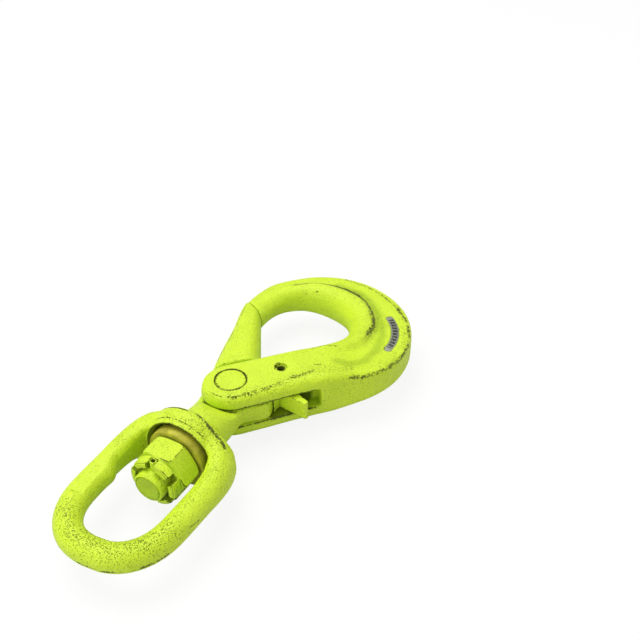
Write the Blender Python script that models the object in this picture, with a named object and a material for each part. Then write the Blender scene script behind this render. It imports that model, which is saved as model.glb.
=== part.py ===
"""Swivel self-locking lifting hook, built as separate forgings and fittings.

Working axes: +X runs along the load line from the link towards the bowl, +Y
points to the gate side, +Z is up with the hook lying flat.  Every piece is
modelled about the pivot pin and then moved so that the whole hook stands on Z = 0.
"""

import math

import bmesh
import bpy
from mathutils import Matrix, Vector

# ---------------------------------------------------------------- dimensions
FIT = 0.0003
RING_POINTS = 36

# hook body: a straight forked shank that runs into the bowl
SHANK_ANGLE = math.radians(-38.7)
CHEEK_END_R = 0.0195
CHEEK_HALF_Z = 0.0170
CHEEK_OPENING_V = 0.0176
CHEEK_SPINE_V = -0.0198
SLOT_HALF_Z = 0.0070
SLOT_END_U = 0.0542
TAIL_SWEEP_R = 0.0273

# pivot pin and gate
PIVOT_R = 0.0100
PIVOT_BORE_R = 0.0103
HUB_R = 0.0190
BLADE_HALF_Z = 0.0066
TAIL_R = 0.0267
ARM_ROOT_HALF_Z = 0.0150
ARM_TIP_HALF_Z = 0.0098
GATE_OPENS = math.radians(32.0)

# shank, nut and link
SHANK_R = 0.0100
NECK_R = 0.0160
COLLAR_X = -0.0372
SHANK_END_X = -0.0888
BOSS_BACK_X = -0.0380
BOSS_RIDGE_X = -0.0462
BOSS_FRONT_X = -0.0570
BOSS_R = 0.0275
BORE_R = 0.0106
RECESS_R = 0.0219
RECESS_FLOOR_X = -0.0440
LINK_BAR_R = 0.0087
LINK_HALF_W = 0.0319
LINK_CROWN_X = -0.1405
WRENCH_R = 0.0252
WRENCH_END_X = -0.0860
NUT_FACE_X = -0.0613
NUT_HEX_X = -0.0775
NUT_END_X = -0.0848
NUT_AF = 0.0330
NUT_CROWN_R = 0.0161
NUT_SLOT_W = 0.0046
NUT_PIN_R = 0.0021
NUT_PIN_X = -0.0806

# thrust bearing
RACE_R = 0.0211
RACE_BORE_R = 0.0104
BALL_R = 0.0030
BALL_CIRCLE_R = 0.0156
BALL_COUNT = 12
BALL_X = -0.0512
RACE_GAP = 0.00205

# trigger
TRIGGER_U = 0.0340
TRIGGER_HALF_Z = 0.0066
TRIGGER_HUB_R = 0.0060
ROLL_PIN_R = 0.0037
ROLL_PIN_BORE_R = 0.0023
ROLL_HOLE_R = 0.0040
SPRING_COIL_R = 0.0052
SPRING_WIRE_R = 0.00055
SPRING_TURNS = 3

# label plate
LABEL_R = 0.0353
LABEL_HALF_W = 0.0026
LABEL_FROM = math.radians(-37.5)
LABEL_TO = math.radians(-94.0)
LABEL_CENTRE = (0.0872, -0.0350)

MM = 0.001


# ------------------------------------------------------------------ materials
def paint(name, colour, metallic, roughness):
    """A plain Principled material."""
    material = bpy.data.materials.new(name)
    material.use_nodes = True
    shader = material.node_tree.nodes["Principled BSDF"]
    shader.inputs["Base Color"].default_value = (*colour, 1.0)
    shader.inputs["Metallic"].default_value = metallic
    shader.inputs["Roughness"].default_value = roughness
    material.diffuse_color = (*colour, 1.0)
    return material


# ------------------------------------------------------------------- builders
def finish(name, bm, material, smooth=35.0):
    """Turn a bmesh into an object with outward faces."""
    bmesh.ops.remove_doubles(bm, verts=bm.verts, dist=2e-6)
    bmesh.ops.recalc_face_normals(bm, faces=bm.faces)
    mesh = bpy.data.meshes.new(name)
    bm.to_mesh(mesh)
    bm.free()
    mesh.materials.append(material)
    mesh.shade_smooth()
    mesh.set_sharp_from_angle(angle=math.radians(smooth))
    piece = bpy.data.objects.new(name, mesh)
    bpy.context.scene.collection.objects.link(piece)
    return piece


def loft(name, rings, material, closed=False, smooth=35.0):
    """Skin a list of equally long point rings; ends are capped unless closed."""
    bm = bmesh.new()
    loops = [[bm.verts.new(point) for point in ring] for ring in rings]
    count = len(rings[0])
    pairs = list(zip(loops, loops[1:]))
    if closed:
        pairs.append((loops[-1], loops[0]))
    for first, second in pairs:
        for i in range(count):
            j = (i + 1) % count
            bm.faces.new((first[i], first[j], second[j], second[i]))
    if not closed:
        bm.faces.new(loops[0])
        bm.faces.new(list(reversed(loops[-1])))
    return finish(name, bm, material, smooth)


def turned(name, profile, material, steps=64, centre=(0.0, 0.0)):
    """Turn a closed (x, r) profile about an axis parallel to X."""
    rings = []
    for i in range(steps):
        angle = 2.0 * math.pi * i / steps
        y = math.cos(angle)
        z = math.sin(angle)
        rings.append([Vector((x, centre[0] + r * y, centre[1] + r * z)) for x, r in profile])
    return loft(name, rings, material, closed=True)


def turned_z(name, profile, material, centre, steps=48):
    """Turn a closed (z, r) profile about an axis parallel to Z."""
    rings = []
    for i in range(steps):
        angle = 2.0 * math.pi * i / steps
        x = math.cos(angle)
        y = math.sin(angle)
        rings.append([Vector((centre[0] + r * x, centre[1] + r * y, z)) for z, r in profile])
    return loft(name, rings, material, closed=True)


def stack(name, axis, centre, levels, material, steps=64):
    """Solid of circles along X or Z, one for each (distance, radius) level."""
    rings = []
    for level, radius in levels:
        ring = []
        for i in range(steps):
            angle = 2.0 * math.pi * i / steps
            a = centre[0] + radius * math.cos(angle)
            b = centre[1] + radius * math.sin(angle)
            ring.append(Vector((level, a, b)) if axis == "X" else Vector((a, b, level)))
        rings.append(ring)
    return loft(name, rings, material)


def disc(name, axis, centre, radius, low, high, material, steps=64):
    """A plain cylinder along X or Z."""
    return stack(name, axis, centre, [(low, radius), (high, radius)], material, steps)


def slab(name, outline, low, high, material):
    """Extrude a plan outline between two heights."""
    rings = [[Vector((x, y, level)) for x, y in outline] for level in (low, high)]
    return loft(name, rings, material)


def bake(piece):
    """Replace a mesh with its evaluated self."""
    graph = bpy.context.evaluated_depsgraph_get()
    mesh = bpy.data.meshes.new_from_object(piece.evaluated_get(graph))
    piece.modifiers.clear()
    piece.data = mesh
    piece.data.name = piece.name
    return piece


def combine(piece, tool, operation):
    """Exact boolean of two closed solids; the tool is used up."""
    modifier = piece.modifiers.new(operation.lower(), "BOOLEAN")
    modifier.operation = operation
    modifier.solver = "EXACT"
    modifier.object = tool
    bpy.context.view_layer.update()
    bake(piece)
    bpy.data.objects.remove(tool, do_unlink=True)
    tidy(piece)
    return piece


def cut(piece, tool):
    """Take the tool away from the piece."""
    return combine(piece, tool, "DIFFERENCE")


def join(piece, tool):
    """Add the tool to the piece."""
    return combine(piece, tool, "UNION")


def tidy(piece, smooth=35.0):
    """Merge slivers left by a boolean and refresh the shading."""
    bm = bmesh.new()
    bm.from_mesh(piece.data)
    bmesh.ops.remove_doubles(bm, verts=bm.verts, dist=2e-6)
    bmesh.ops.dissolve_degenerate(bm, edges=bm.edges, dist=2e-6)
    bm.to_mesh(piece.data)
    bm.free()
    piece.data.shade_smooth()
    piece.data.set_sharp_from_angle(angle=math.radians(smooth))


# --------------------------------------------------------------- plan helpers
def uv(u, v):
    """Plan point from distances along and across the hook's straight shank."""
    c = math.cos(SHANK_ANGLE)
    s = math.sin(SHANK_ANGLE)
    return (u * c - v * s, u * s + v * c)


def arc(centre, radius, start, end, steps):
    """Points of a plan arc, ends included; angles in degrees."""
    points = []
    for i in range(steps + 1):
        angle = math.radians(start + (end - start) * i / steps)
        points.append((centre[0] + radius * math.cos(angle), centre[1] + radius * math.sin(angle)))
    return points


def blend(a, b, t):
    """Straight mix of two equally long tuples."""
    return tuple(p + (q - p) * t for p, q in zip(a, b))


def smooth_path(stations, steps):
    """Catmull-Rom through equally long tuples."""
    out = []
    last = len(stations) - 1
    for i in range(last):
        p0 = stations[max(i - 1, 0)]
        p1 = stations[i]
        p2 = stations[i + 1]
        p3 = stations[min(i + 2, last)]
        for k in range(steps):
            t = k / steps
            out.append(tuple(
                0.5 * (2 * b + (c - a) * t + (2 * a - 5 * b + 4 * c - d) * t * t
                       + (3 * b - a - 3 * c + d) * t * t * t)
                for a, b, c, d in zip(p0, p1, p2, p3)))
    out.append(tuple(stations[last]))
    return out


# ------------------------------------------------------------------ hook body
def hook_section(inner, outer, crest, bead, foot, flange, corner):
    """Ring of a forged section: a round bead on the inside and a flat flange.

    crest and foot are distances from the inner edge to the bead's top and to
    the flange's start; bead and flange are half thicknesses.
    """
    width = math.dist(inner, outer)
    corner_w = min(corner, width * 0.45)
    foot = min(max(foot, crest + 0.0005), width - corner_w)
    crest = min(crest, width * 0.5)
    half = RING_POINTS // 2
    rise = half * 8 // 22
    fall = half * 6 // 22
    turn = half - rise - fall
    profile = []
    for i in range(rise):
        t = math.pi / 2 * i / rise
        profile.append((crest * (1 - math.cos(t)), bead * math.sin(t)))
    for i in range(fall):
        t = i / fall
        profile.append((crest + (foot - crest) * t,
                        bead + (flange - bead) * (0.5 - 0.5 * math.cos(math.pi * t))))
    for i in range(turn):
        t = math.pi / 2 * i / (turn - 1) if turn > 1 else 0.0
        profile.append((width - corner_w * (1 - math.sin(t)),
                        flange - corner * (1 - math.cos(t))))
    ring = []
    direction = ((outer[0] - inner[0]) / width, (outer[1] - inner[1]) / width)
    lower = [(w, -z) for w, z in reversed(profile)][:-1]
    for w, z in profile + lower:
        ring.append(Vector((inner[0] + direction[0] * w, inner[1] + direction[1] * w, z)))
    return ring


def shank_rings():
    """Rings of the forked shank, from its round end up to the bowl."""
    rings = []
    end_steps = 9
    for i in range(end_steps):
        angle = math.radians(174.0 - 84.0 * i / (end_steps - 1))
        u = CHEEK_END_R * math.cos(angle)
        v = CHEEK_END_R * math.sin(angle)
        edge = CHEEK_END_R + u
        round_over = 0.0050
        drop = max(0.0, round_over - edge)
        top = CHEEK_HALF_Z - round_over + math.sqrt(max(round_over ** 2 - drop ** 2, 1e-8))
        rings.append(hook_section(uv(u, v), uv(u, -v), min(0.0055, v * 0.8), top,
                                  min(0.0075, v), top, 0.0060))
    return rings


def bowl_stations():
    """Inner edge, outer edge, crest, bead, foot, flange and corner around the bowl."""
    rows = [
        (*uv(0.018, 0.0184), *uv(0.018, CHEEK_SPINE_V), 5.5, 17.0, 7.5, 17.0, 6.0),
        (*uv(0.036, CHEEK_OPENING_V), *uv(0.036, CHEEK_SPINE_V), 5.5, 17.0, 7.5, 17.0, 6.0),
        (*uv(0.052, 0.0170), *uv(0.052, -0.0203), 6.0, 17.0, 8.0, 17.0, 6.0),
        (*uv(0.061, 0.0168), *uv(0.062, -0.0212), 7.0, 16.8, 11.0, 16.4, 5.5),
        (0.0655, -0.0292, 0.0445, -0.0640, 9.0, 16.2, 15.0, 14.4, 5.0),
        (0.0722, -0.0322, 0.0560, -0.0738, 11.5, 15.4, 18.5, 11.6, 4.0),
        (0.0800, -0.0353, 0.0700, -0.0800, 14.0, 15.1, 21.0, 10.3, 3.5),
        (0.0880, -0.0362, 0.0850, -0.0818, 15.5, 15.0, 22.5, 10.0, 3.5),
        (0.0960, -0.0342, 0.1010, -0.0795, 16.5, 15.0, 23.0, 10.0, 3.5),
        (0.1035, -0.0295, 0.1165, -0.0725, 16.5, 14.9, 23.0, 10.0, 3.5),
        (0.1095, -0.0222, 0.1300, -0.0615, 16.0, 14.7, 22.5, 10.0, 3.5),
        (0.1133, -0.0130, 0.1400, -0.0460, 14.5, 14.3, 21.5, 10.0, 3.5),
        (0.1148, -0.0035, 0.1458, -0.0270, 12.5, 13.6, 20.0, 10.0, 3.5),
        (0.1146, 0.0055, 0.1458, -0.0070, 11.0, 12.8, 18.5, 9.8, 4.0),
        (0.1120, 0.0135, 0.1400, 0.0120, 10.0, 11.9, 17.0, 9.4, 5.0),
        (0.1065, 0.0192, 0.1305, 0.0262, 10.0, 11.0, 15.0, 9.2, 6.5),
        (0.0990, 0.0235, 0.1160, 0.0395, 10.2, 10.3, 13.5, 9.6, 8.5),
        (0.0890, 0.0258, 0.1005, 0.0445, 10.2, 9.8, 12.0, 9.6, 9.2),
        (0.0775, 0.0258, 0.0860, 0.0455, 10.0, 9.6, 11.5, 9.6, 9.4),
    ]
    return [row[:4] + tuple(value * MM for value in row[4:]) for row in rows]


def hook_solid(material):
    """The bare forging, before it is slotted and drilled."""
    rings = shank_rings()
    for row in smooth_path(bowl_stations(), 3):
        rings.append(hook_section(row[0:2], row[2:4], *row[4:]))
    return loft("hook_body", rings, material)


def slot_outline():
    """Plan outline of the fork's slot, with room for the gate tail and the trigger."""
    points = [(-0.030, 0.030), (0.0285, 0.030), (0.0285, 0.0045)]
    points += [(TRIGGER_U + x, y) for x, y in arc((0, 0), TRIGGER_HUB_R + 0.0009, 140, 0, 8)]
    points += [(0.0480, -0.0085), (SLOT_END_U - 0.0008, -0.0125)]
    points += arc((SLOT_END_U + 0.0060, -0.0165), 0.0062, 150, 190, 4)
    points += [(SLOT_END_U + 0.0004, -0.030), (-0.030, -0.030)]
    return [uv(u, v) for u, v in reversed(points)]


def build_hook_body(material, tool_material):
    """Hook forging with slot, pivot bore, trigger pin hole and label recess."""
    body = hook_solid(material)
    cut(body, slab("slot", slot_outline(), -SLOT_HALF_Z, SLOT_HALF_Z, tool_material))
    cut(body, disc("bore", "Z", (0, 0), PIVOT_BORE_R, -0.03, 0.03, tool_material, 72))
    cut(body, disc("pin_hole", "Z", uv(TRIGGER_U, 0), ROLL_HOLE_R, -0.03, 0.03, tool_material, 40))
    label = slab("recess", label_outline(LABEL_HALF_W + FIT), 0.0094, 0.0130, tool_material)
    cut(body, label)
    return body


# ----------------------------------------------------------------------- gate
def arm_rings():
    """Rings along the gate arm, from inside the hub to the seam with the hook tip."""
    inner_root = (0.0215, -0.0085)
    inner_tip = (0.0770, 0.0264)
    outer = [(-0.0060, 0.0150), (0.0150, 0.0235), (0.0335, 0.0296), (0.0550, 0.0358),
             (0.0720, 0.0420), (0.0853, 0.0459)]
    rings = []
    rows = smooth_path(outer, 4)
    last = len(rows) - 1
    for i, far in enumerate(rows):
        t = i / last
        near = blend(inner_root, inner_tip, t)
        half = ARM_ROOT_HALF_Z + (ARM_TIP_HALF_Z - ARM_ROOT_HALF_Z) * t
        width = math.dist(near, far)
        corner = 0.0085
        crest = min(0.0095, width * 0.45)
        rings.append(hook_section(near, far, crest, half, crest + 0.001, half,
                                  min(corner, half * 0.95)))
    return rings


def neck_rings():
    """Rings from the flat hub blade out to the round collar that faces the boss."""
    rows = [
        (-0.0060, 0.0175, -0.0150, 0.0066, 6.0),
        (-0.0160, 0.0162, -0.0160, 0.0068, 5.0),
        (-0.0205, 0.0156, -0.0161, 0.0096, 3.2),
        (-0.0250, 0.0153, -0.0160, 0.0132, 2.4),
        (-0.0300, 0.0156, -0.0160, 0.0154, 2.1),
        (COLLAR_X, NECK_R, -NECK_R, NECK_R, 2.0),
    ]
    rings = []
    for x, left, right, half, power in smooth_path(rows, 3):
        centre = (left + right) / 2
        reach = (left - right) / 2
        ring = []
        for i in range(RING_POINTS):
            angle = 2.0 * math.pi * i / RING_POINTS
            c = math.cos(angle)
            s = math.sin(angle)
            y = math.copysign(abs(c) ** (2.0 / power), c)
            z = math.copysign(abs(s) ** (2.0 / power), s)
            ring.append(Vector((x, centre + reach * y, half * z)))
        rings.append(ring)
    return rings


def tail_outline():
    """Plan outline of the gate's tail, the part that the trigger locks."""
    corner = math.degrees(math.asin(0.0192 / TAIL_R))
    points = [(-0.006, -0.0192)]
    points += arc((0, 0), TAIL_R, -corner, -corner + 22, 4)
    points += [(0.0165, -0.0040), (0.0, 0.0)]
    return [uv(u, v) for u, v in points]


def cheek_clearance(low, high, material):
    """Room that the cheeks need between the closed and the fully opened gate."""
    gap = 0.0004
    room = disc("room", "Z", (0, 0), CHEEK_END_R + gap, low, high, material, 72)
    for turn in (0.0, -GATE_OPENS):
        band = [(0.0, CHEEK_SPINE_V - gap), (0.09, CHEEK_SPINE_V - gap),
                (0.09, CHEEK_OPENING_V + 0.0008 + gap), (0.018, CHEEK_OPENING_V + 0.0010 + gap),
                (0.0, CHEEK_END_R + gap)]
        c = math.cos(turn)
        s = math.sin(turn)
        band = [uv(u * c - v * s, u * s + v * c) for u, v in band]
        join(room, slab("band", band, low, high, material))
    return room


def build_latch_body(material, tool_material):
    """Gate arm, hub, locking tail, neck and shank: one forging."""
    body = loft("latch_body", arm_rings(), material)
    join(body, loft("neck", neck_rings(), material))
    cut(body, cheek_clearance(BLADE_HALF_Z, 0.03, tool_material))
    cut(body, cheek_clearance(-0.03, -BLADE_HALF_Z, tool_material))
    join(body, disc("hub", "Z", (0, 0), HUB_R, -BLADE_HALF_Z, BLADE_HALF_Z, material, 72))
    join(body, slab("tail", tail_outline(), -BLADE_HALF_Z, BLADE_HALF_Z, material))
    cut(body, disc("eye", "Z", (0, 0), PIVOT_BORE_R + 0.0001, -0.03, 0.03, tool_material, 72))
    shank = [(COLLAR_X + 0.003, SHANK_R), (SHANK_END_X + 0.0012, SHANK_R),
             (SHANK_END_X, SHANK_R - 0.0012)]
    join(body, stack("shank", "X", (0, 0), shank, material, 48))
    cut(body, disc("hole", "Z", (NUT_PIN_X, 0), NUT_PIN_R + 0.00025, -0.02, 0.02, tool_material, 24))
    return body


# ----------------------------------------------------------------------- link
def link_rings():
    """Closed loop of rings: crown, bars and the shoulders that run into the boss."""
    middle = LINK_CROWN_X + 0.038
    half = [(LINK_CROWN_X + (middle - LINK_CROWN_X) * (1 - math.cos(math.radians(t)) ** 0.86),
             LINK_HALF_W * math.sin(math.radians(t)) ** 0.86, LINK_BAR_R, LINK_BAR_R)
            for t in range(0, 90, 15)]
    half += [
        (middle, LINK_HALF_W, LINK_BAR_R, LINK_BAR_R),
        (-0.0830, LINK_HALF_W + 0.0003, LINK_BAR_R, LINK_BAR_R + 0.0002),
        (-0.0690, LINK_HALF_W, 0.0092, 0.0102),
        (-0.0590, 0.0292, 0.0103, 0.0133),
        (-0.0515, 0.0245, 0.0105, 0.0170),
        (-0.0480, 0.0150, 0.0090, 0.0200),
        (-0.0475, 0.0, 0.0085, 0.0210),
    ]
    mirrored = [(x, -y, wide, tall) for x, y, wide, tall in reversed(half[1:-1])]
    loop = half + mirrored
    rows = smooth_path([loop[-1]] + loop + loop[:2], 2)[2:-4]
    out = []
    for i, (x, y, wide, tall) in enumerate(rows):
        before = Vector(rows[i - 1][:2])
        after = Vector(rows[(i + 1) % len(rows)][:2])
        along = (after - before).normalized()
        ring = []
        for k in range(22):
            turn = 2.0 * math.pi * k / 22
            reach = wide * math.cos(turn)
            ring.append(Vector((x + along.y * reach, y - along.x * reach, tall * math.sin(turn))))
        out.append(ring)
    return out


def build_link(material, tool_material):
    """Oval link with the boss that carries the bearing."""
    link = loft("swivel_link", link_rings(), material, closed=True)
    profile = [(BOSS_BACK_X, 0.0185), (BOSS_BACK_X - 0.0028, 0.0222),
               (BOSS_RIDGE_X + 0.0026, BOSS_R - 0.0016), (BOSS_RIDGE_X + 0.0008, BOSS_R - 0.0002),
               (BOSS_RIDGE_X - 0.0004, BOSS_R),
               (BOSS_RIDGE_X - 0.0045, BOSS_R - 0.0006),
               (BOSS_FRONT_X + 0.0032, BOSS_R - 0.0022), (BOSS_FRONT_X + 0.0008, BOSS_R - 0.0040),
               (BOSS_FRONT_X, BOSS_R - 0.0050)]
    join(link, stack("boss", "X", (0, 0), profile, material, 64))
    cut(link, disc("bore", "X", (0, 0), BORE_R, -0.07, -0.02, tool_material, 64))
    wrench = [(BOSS_FRONT_X, WRENCH_R), (WRENCH_END_X + 0.002, WRENCH_R),
              (WRENCH_END_X, WRENCH_R - 0.0035)]
    cut(link, stack("wrench", "X", (0, 0), wrench, tool_material, 64))
    cut(link, disc("recess", "X", (0, 0), RECESS_R, -0.060, RECESS_FLOOR_X, tool_material, 72))
    return link


# ------------------------------------------------------------- nut and bearing
def build_nut(material, tool_material):
    """Castle nut with six slots."""
    corner = NUT_AF / 2 / math.cos(math.pi / 6)
    hexagon = [Vector((0.0, corner * math.cos(math.pi / 3 * i), corner * math.sin(math.pi / 3 * i)))
               for i in range(6)]
    rings = [[Vector((x, p.y, p.z)) for p in hexagon] for x in (NUT_FACE_X, NUT_HEX_X)]
    nut = loft("castle_nut", rings, material)
    envelope = [(NUT_FACE_X + 0.0005, corner - 0.0016), (NUT_FACE_X - 0.0020, corner + 0.0002),
                (NUT_HEX_X + 0.0035, corner + 0.0002), (NUT_HEX_X - 0.0005, corner - 0.0026)]
    combine(nut, stack("envelope", "X", (0, 0), envelope, tool_material, 64), "INTERSECT")
    crown = [(NUT_HEX_X + 0.003, NUT_CROWN_R), (NUT_END_X + 0.0022, NUT_CROWN_R),
             (NUT_END_X + 0.0007, NUT_CROWN_R - 0.0006), (NUT_END_X, NUT_CROWN_R - 0.0020)]
    join(nut, stack("crown", "X", (0, 0), crown, material, 60))
    cut(nut, disc("thread", "X", (0, 0), SHANK_R + FIT, -0.10, -0.05, tool_material, 48))
    for i in range(3):
        half = NUT_SLOT_W / 2
        depth = NUT_HEX_X - 0.0010
        box = [Vector((x, y, z)) for x, y, z in (
            (depth, -half, -0.02), (-0.09, -half, -0.02), (-0.09, half, -0.02), (depth, half, -0.02))]
        top = [Vector((p.x, p.y, 0.02)) for p in box]
        turn = Matrix.Rotation(math.pi / 3 * i, 3, "X")
        tool = loft("slot", [[turn @ p for p in box], [turn @ p for p in top]], tool_material)
        cut(nut, tool)
    return nut


def build_nut_pin(material):
    """Hollow spring pin through the nut's slots and the shank."""
    half = 0.0150
    outer = NUT_PIN_R
    inner = NUT_PIN_R - 0.0007
    profile = [(-half, outer - 0.0003), (-half + 0.0004, outer), (half - 0.0004, outer),
               (half, outer - 0.0003), (half, inner), (-half, inner)]
    return turned_z("nut_pin", profile, material, (NUT_PIN_X, 0.0), 24)


def race_profile(face_x, back_x, bore):
    """Closed (x, r) profile of a race with a ball groove in its face."""
    side = 1.0 if back_x > face_x else -1.0
    chamfer = 0.0006
    groove = []
    for i in range(5):
        angle = math.radians(-50 + 100 * i / 4)
        groove.append((BALL_X + side * (BALL_R + FIT * 0.6) * math.cos(angle),
                       BALL_CIRCLE_R + (BALL_R + FIT * 0.6) * math.sin(angle)))
    profile = [(back_x, bore), (face_x, bore)] + groove
    profile += [(face_x, RACE_R - chamfer), (face_x + side * chamfer, RACE_R),
                (back_x - side * chamfer, RACE_R), (back_x, RACE_R - chamfer)]
    return profile


def build_bearing(race_material, ball_material, cage_material):
    """Two grooved races, a brass cage and its balls."""
    pieces = []
    lower = race_profile(BALL_X + RACE_GAP, RECESS_FLOOR_X - FIT, BORE_R)
    pieces.append(turned("race_link_side", lower, race_material, 52))
    upper = race_profile(BALL_X - RACE_GAP, NUT_FACE_X + FIT, RACE_BORE_R)
    pieces.append(turned("race_nut_side", upper, race_material, 52))
    half = 0.0007
    cage = turned("ball_cage", [(BALL_X - half, 0.0118), (BALL_X + half, 0.0118),
                                (BALL_X + half, 0.0194), (BALL_X - half, 0.0194)],
                  cage_material, 52)
    spots = []
    for i in range(BALL_COUNT):
        angle = 2.0 * math.pi * (i + 0.5) / BALL_COUNT
        spots.append((BALL_CIRCLE_R * math.cos(angle), BALL_CIRCLE_R * math.sin(angle)))
    for spot in spots:
        cut(cage, disc("pocket", "X", spot, BALL_R + FIT, BALL_X - 0.003, BALL_X + 0.003,
                       cage_material, 14))
    pieces.append(cage)
    for i, (y, z) in enumerate(spots):
        bm = bmesh.new()
        bmesh.ops.create_uvsphere(bm, u_segments=14, v_segments=8, radius=BALL_R)
        bmesh.ops.translate(bm, verts=bm.verts, vec=(BALL_X, y, z))
        pieces.append(finish("ball_%02d" % (i + 1), bm, ball_material, 60.0))
    return pieces


# -------------------------------------------------------------------- trigger
def trigger_outline():
    """Plan outline of the trigger, about its pin."""
    points = arc((TRIGGER_U, 0), TRIGGER_HUB_R, 178, 0, 10)
    points += [(0.0394, -0.0100), (0.0397, -0.0193), (0.0424, -0.0266)]
    points += [(0.0418, -0.0281), (0.0402, -0.0286), (0.0390, -0.0281)]
    points += [(0.0352, -0.0216), (0.0286, -0.0116)]
    points += [(0.0258, -0.0130), (0.0235, -0.0152)]
    tip = math.degrees(math.atan2(-0.0152, 0.0235))
    points += arc((0, 0), TAIL_SWEEP_R + 0.0001, tip + 0.5, -6.0, 6)
    return [uv(u, v) for u, v in points]


def build_trigger(material, tool_material):
    """Thumb trigger with a relief for its spring."""
    trigger = slab("trigger", trigger_outline(), -TRIGGER_HALF_Z, TRIGGER_HALF_Z, material)
    pin = uv(TRIGGER_U, 0)
    cut(trigger, disc("hole", "Z", pin, ROLL_PIN_R + FIT, -0.02, 0.02, tool_material, 32))
    cut(trigger, disc("relief", "Z", pin, 0.0066, -0.0027, 0.0027, tool_material, 40))
    return trigger


def build_trigger_pin(material):
    """Hollow roll pin that the trigger turns on."""
    half = 0.0155
    profile = [(-half, ROLL_PIN_R - 0.0004), (-half + 0.0005, ROLL_PIN_R),
               (half - 0.0005, ROLL_PIN_R), (half, ROLL_PIN_R - 0.0004),
               (half, ROLL_PIN_BORE_R), (-half, ROLL_PIN_BORE_R)]
    return turned_z("trigger_pin", profile, material, uv(TRIGGER_U, 0), 32)


def build_spring(material):
    """Torsion spring coiled round the trigger pin."""
    centre = Vector((*uv(TRIGGER_U, 0), 0.0))
    pitch = 0.00125
    steps = SPRING_TURNS * 16
    path = []
    for i in range(steps + 1):
        angle = SHANK_ANGLE + math.radians(-20) + 2.0 * math.pi * i / 16
        level = (i / 16 - SPRING_TURNS / 2) * pitch
        path.append(centre + Vector((SPRING_COIL_R * math.cos(angle),
                                     SPRING_COIL_R * math.sin(angle), level)))
    rings = []
    for i, point in enumerate(path):
        before = path[max(i - 1, 0)]
        after = path[min(i + 1, len(path) - 1)]
        along = (after - before).normalized()
        radial = (point - centre)
        radial.z = 0.0
        radial.normalize()
        up = along.cross(radial).normalized()
        ring = []
        for k in range(8):
            turn = 2.0 * math.pi * k / 8
            ring.append(point + SPRING_WIRE_R * (radial * math.cos(turn) + up * math.sin(turn)))
        rings.append(ring)
    return loft("trigger_spring", rings, material, smooth=60.0)


# ----------------------------------------------------------------- small parts
def build_pivot_pin(material):
    """Solid pin, flush with both cheeks."""
    half = CHEEK_HALF_Z - 0.0001
    edge = 0.0005
    levels = [(-half, PIVOT_R - edge), (-half + edge, PIVOT_R), (half - edge, PIVOT_R),
              (half, PIVOT_R - edge)]
    return stack("pivot_pin", "Z", (0, 0), levels, material, 64)


def label_outline(half_width):
    """Curved slot-shaped outline that follows the bowl's rim."""
    start = math.degrees(LABEL_FROM)
    end = math.degrees(LABEL_TO)
    points = arc(LABEL_CENTRE, LABEL_R + half_width, start, end, 14)
    for angle, sweep in ((end, -180), (start, -180)):
        middle = math.radians(angle)
        centre = (LABEL_CENTRE[0] + LABEL_R * math.cos(middle),
                  LABEL_CENTRE[1] + LABEL_R * math.sin(middle))
        if angle == end:
            points += arc(centre, half_width, angle, angle + sweep, 8)[1:-1]
            points += arc(LABEL_CENTRE, LABEL_R - half_width, end, start, 14)
        else:
            points += arc(centre, half_width, angle + 180, angle, 8)[1:-1]
    return points


def build_label(material):
    """Thin plate set into the flange; its face carries no lettering."""
    return slab("label_plate", label_outline(LABEL_HALF_W), 0.0097, 0.0102, material)


def stand_on_floor():
    """Move everything so that the box is centred in plan and stands on Z = 0."""
    low = Vector((1.0, 1.0, 1.0))
    high = Vector((-1.0, -1.0, -1.0))
    pieces = list(bpy.context.scene.collection.objects)
    for piece in pieces:
        for vertex in piece.data.vertices:
            for axis in range(3):
                low[axis] = min(low[axis], vertex.co[axis])
                high[axis] = max(high[axis], vertex.co[axis])
    shift = Vector((-(low.x + high.x) / 2, -(low.y + high.y) / 2, -low.z))
    for piece in pieces:
        piece.location = shift
    return shift


def main():
    """Clear the scene and build every piece."""
    for item in list(bpy.data.objects):
        bpy.data.objects.remove(item, do_unlink=True)
    green = paint("safety_green_paint", (0.62, 0.95, 0.05), 0.0, 0.42)
    green_pin = paint("painted_pin", (0.60, 0.93, 0.06), 0.0, 0.45)
    zinc = paint("yellow_zinc_steel", (0.45, 0.38, 0.12), 1.0, 0.35)
    ball = paint("polished_bearing_steel", (0.60, 0.60, 0.62), 1.0, 0.15)
    brass = paint("stamped_brass", (0.60, 0.42, 0.14), 1.0, 0.35)
    spring = paint("spring_steel", (0.30, 0.30, 0.32), 1.0, 0.35)
    plate = paint("etched_label_metal", (0.55, 0.56, 0.56), 0.9, 0.40)
    build_hook_body(green, green)
    build_latch_body(green, green)
    build_link(green, green)
    build_nut(green, green)
    build_nut_pin(green_pin)
    build_bearing(zinc, ball, brass)
    build_pivot_pin(green_pin)
    build_trigger(green, green)
    build_trigger_pin(green_pin)
    build_spring(spring)
    build_label(plate)
    stand_on_floor()


main()
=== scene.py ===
"""Studio model of a swivel self-locking lifting hook, dressed piece by piece.

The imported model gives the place, the size and the motion of every piece.  Each
sub-assembly below turns its piece into a finished one: forged skins, crisp
bores, turned rings and pins, and sprayed paint that has worn along its edges.
"""

from __future__ import annotations

import logging
import math
from collections.abc import Iterator
from contextlib import contextmanager
from dataclasses import dataclass, field
from enum import Enum

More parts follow.
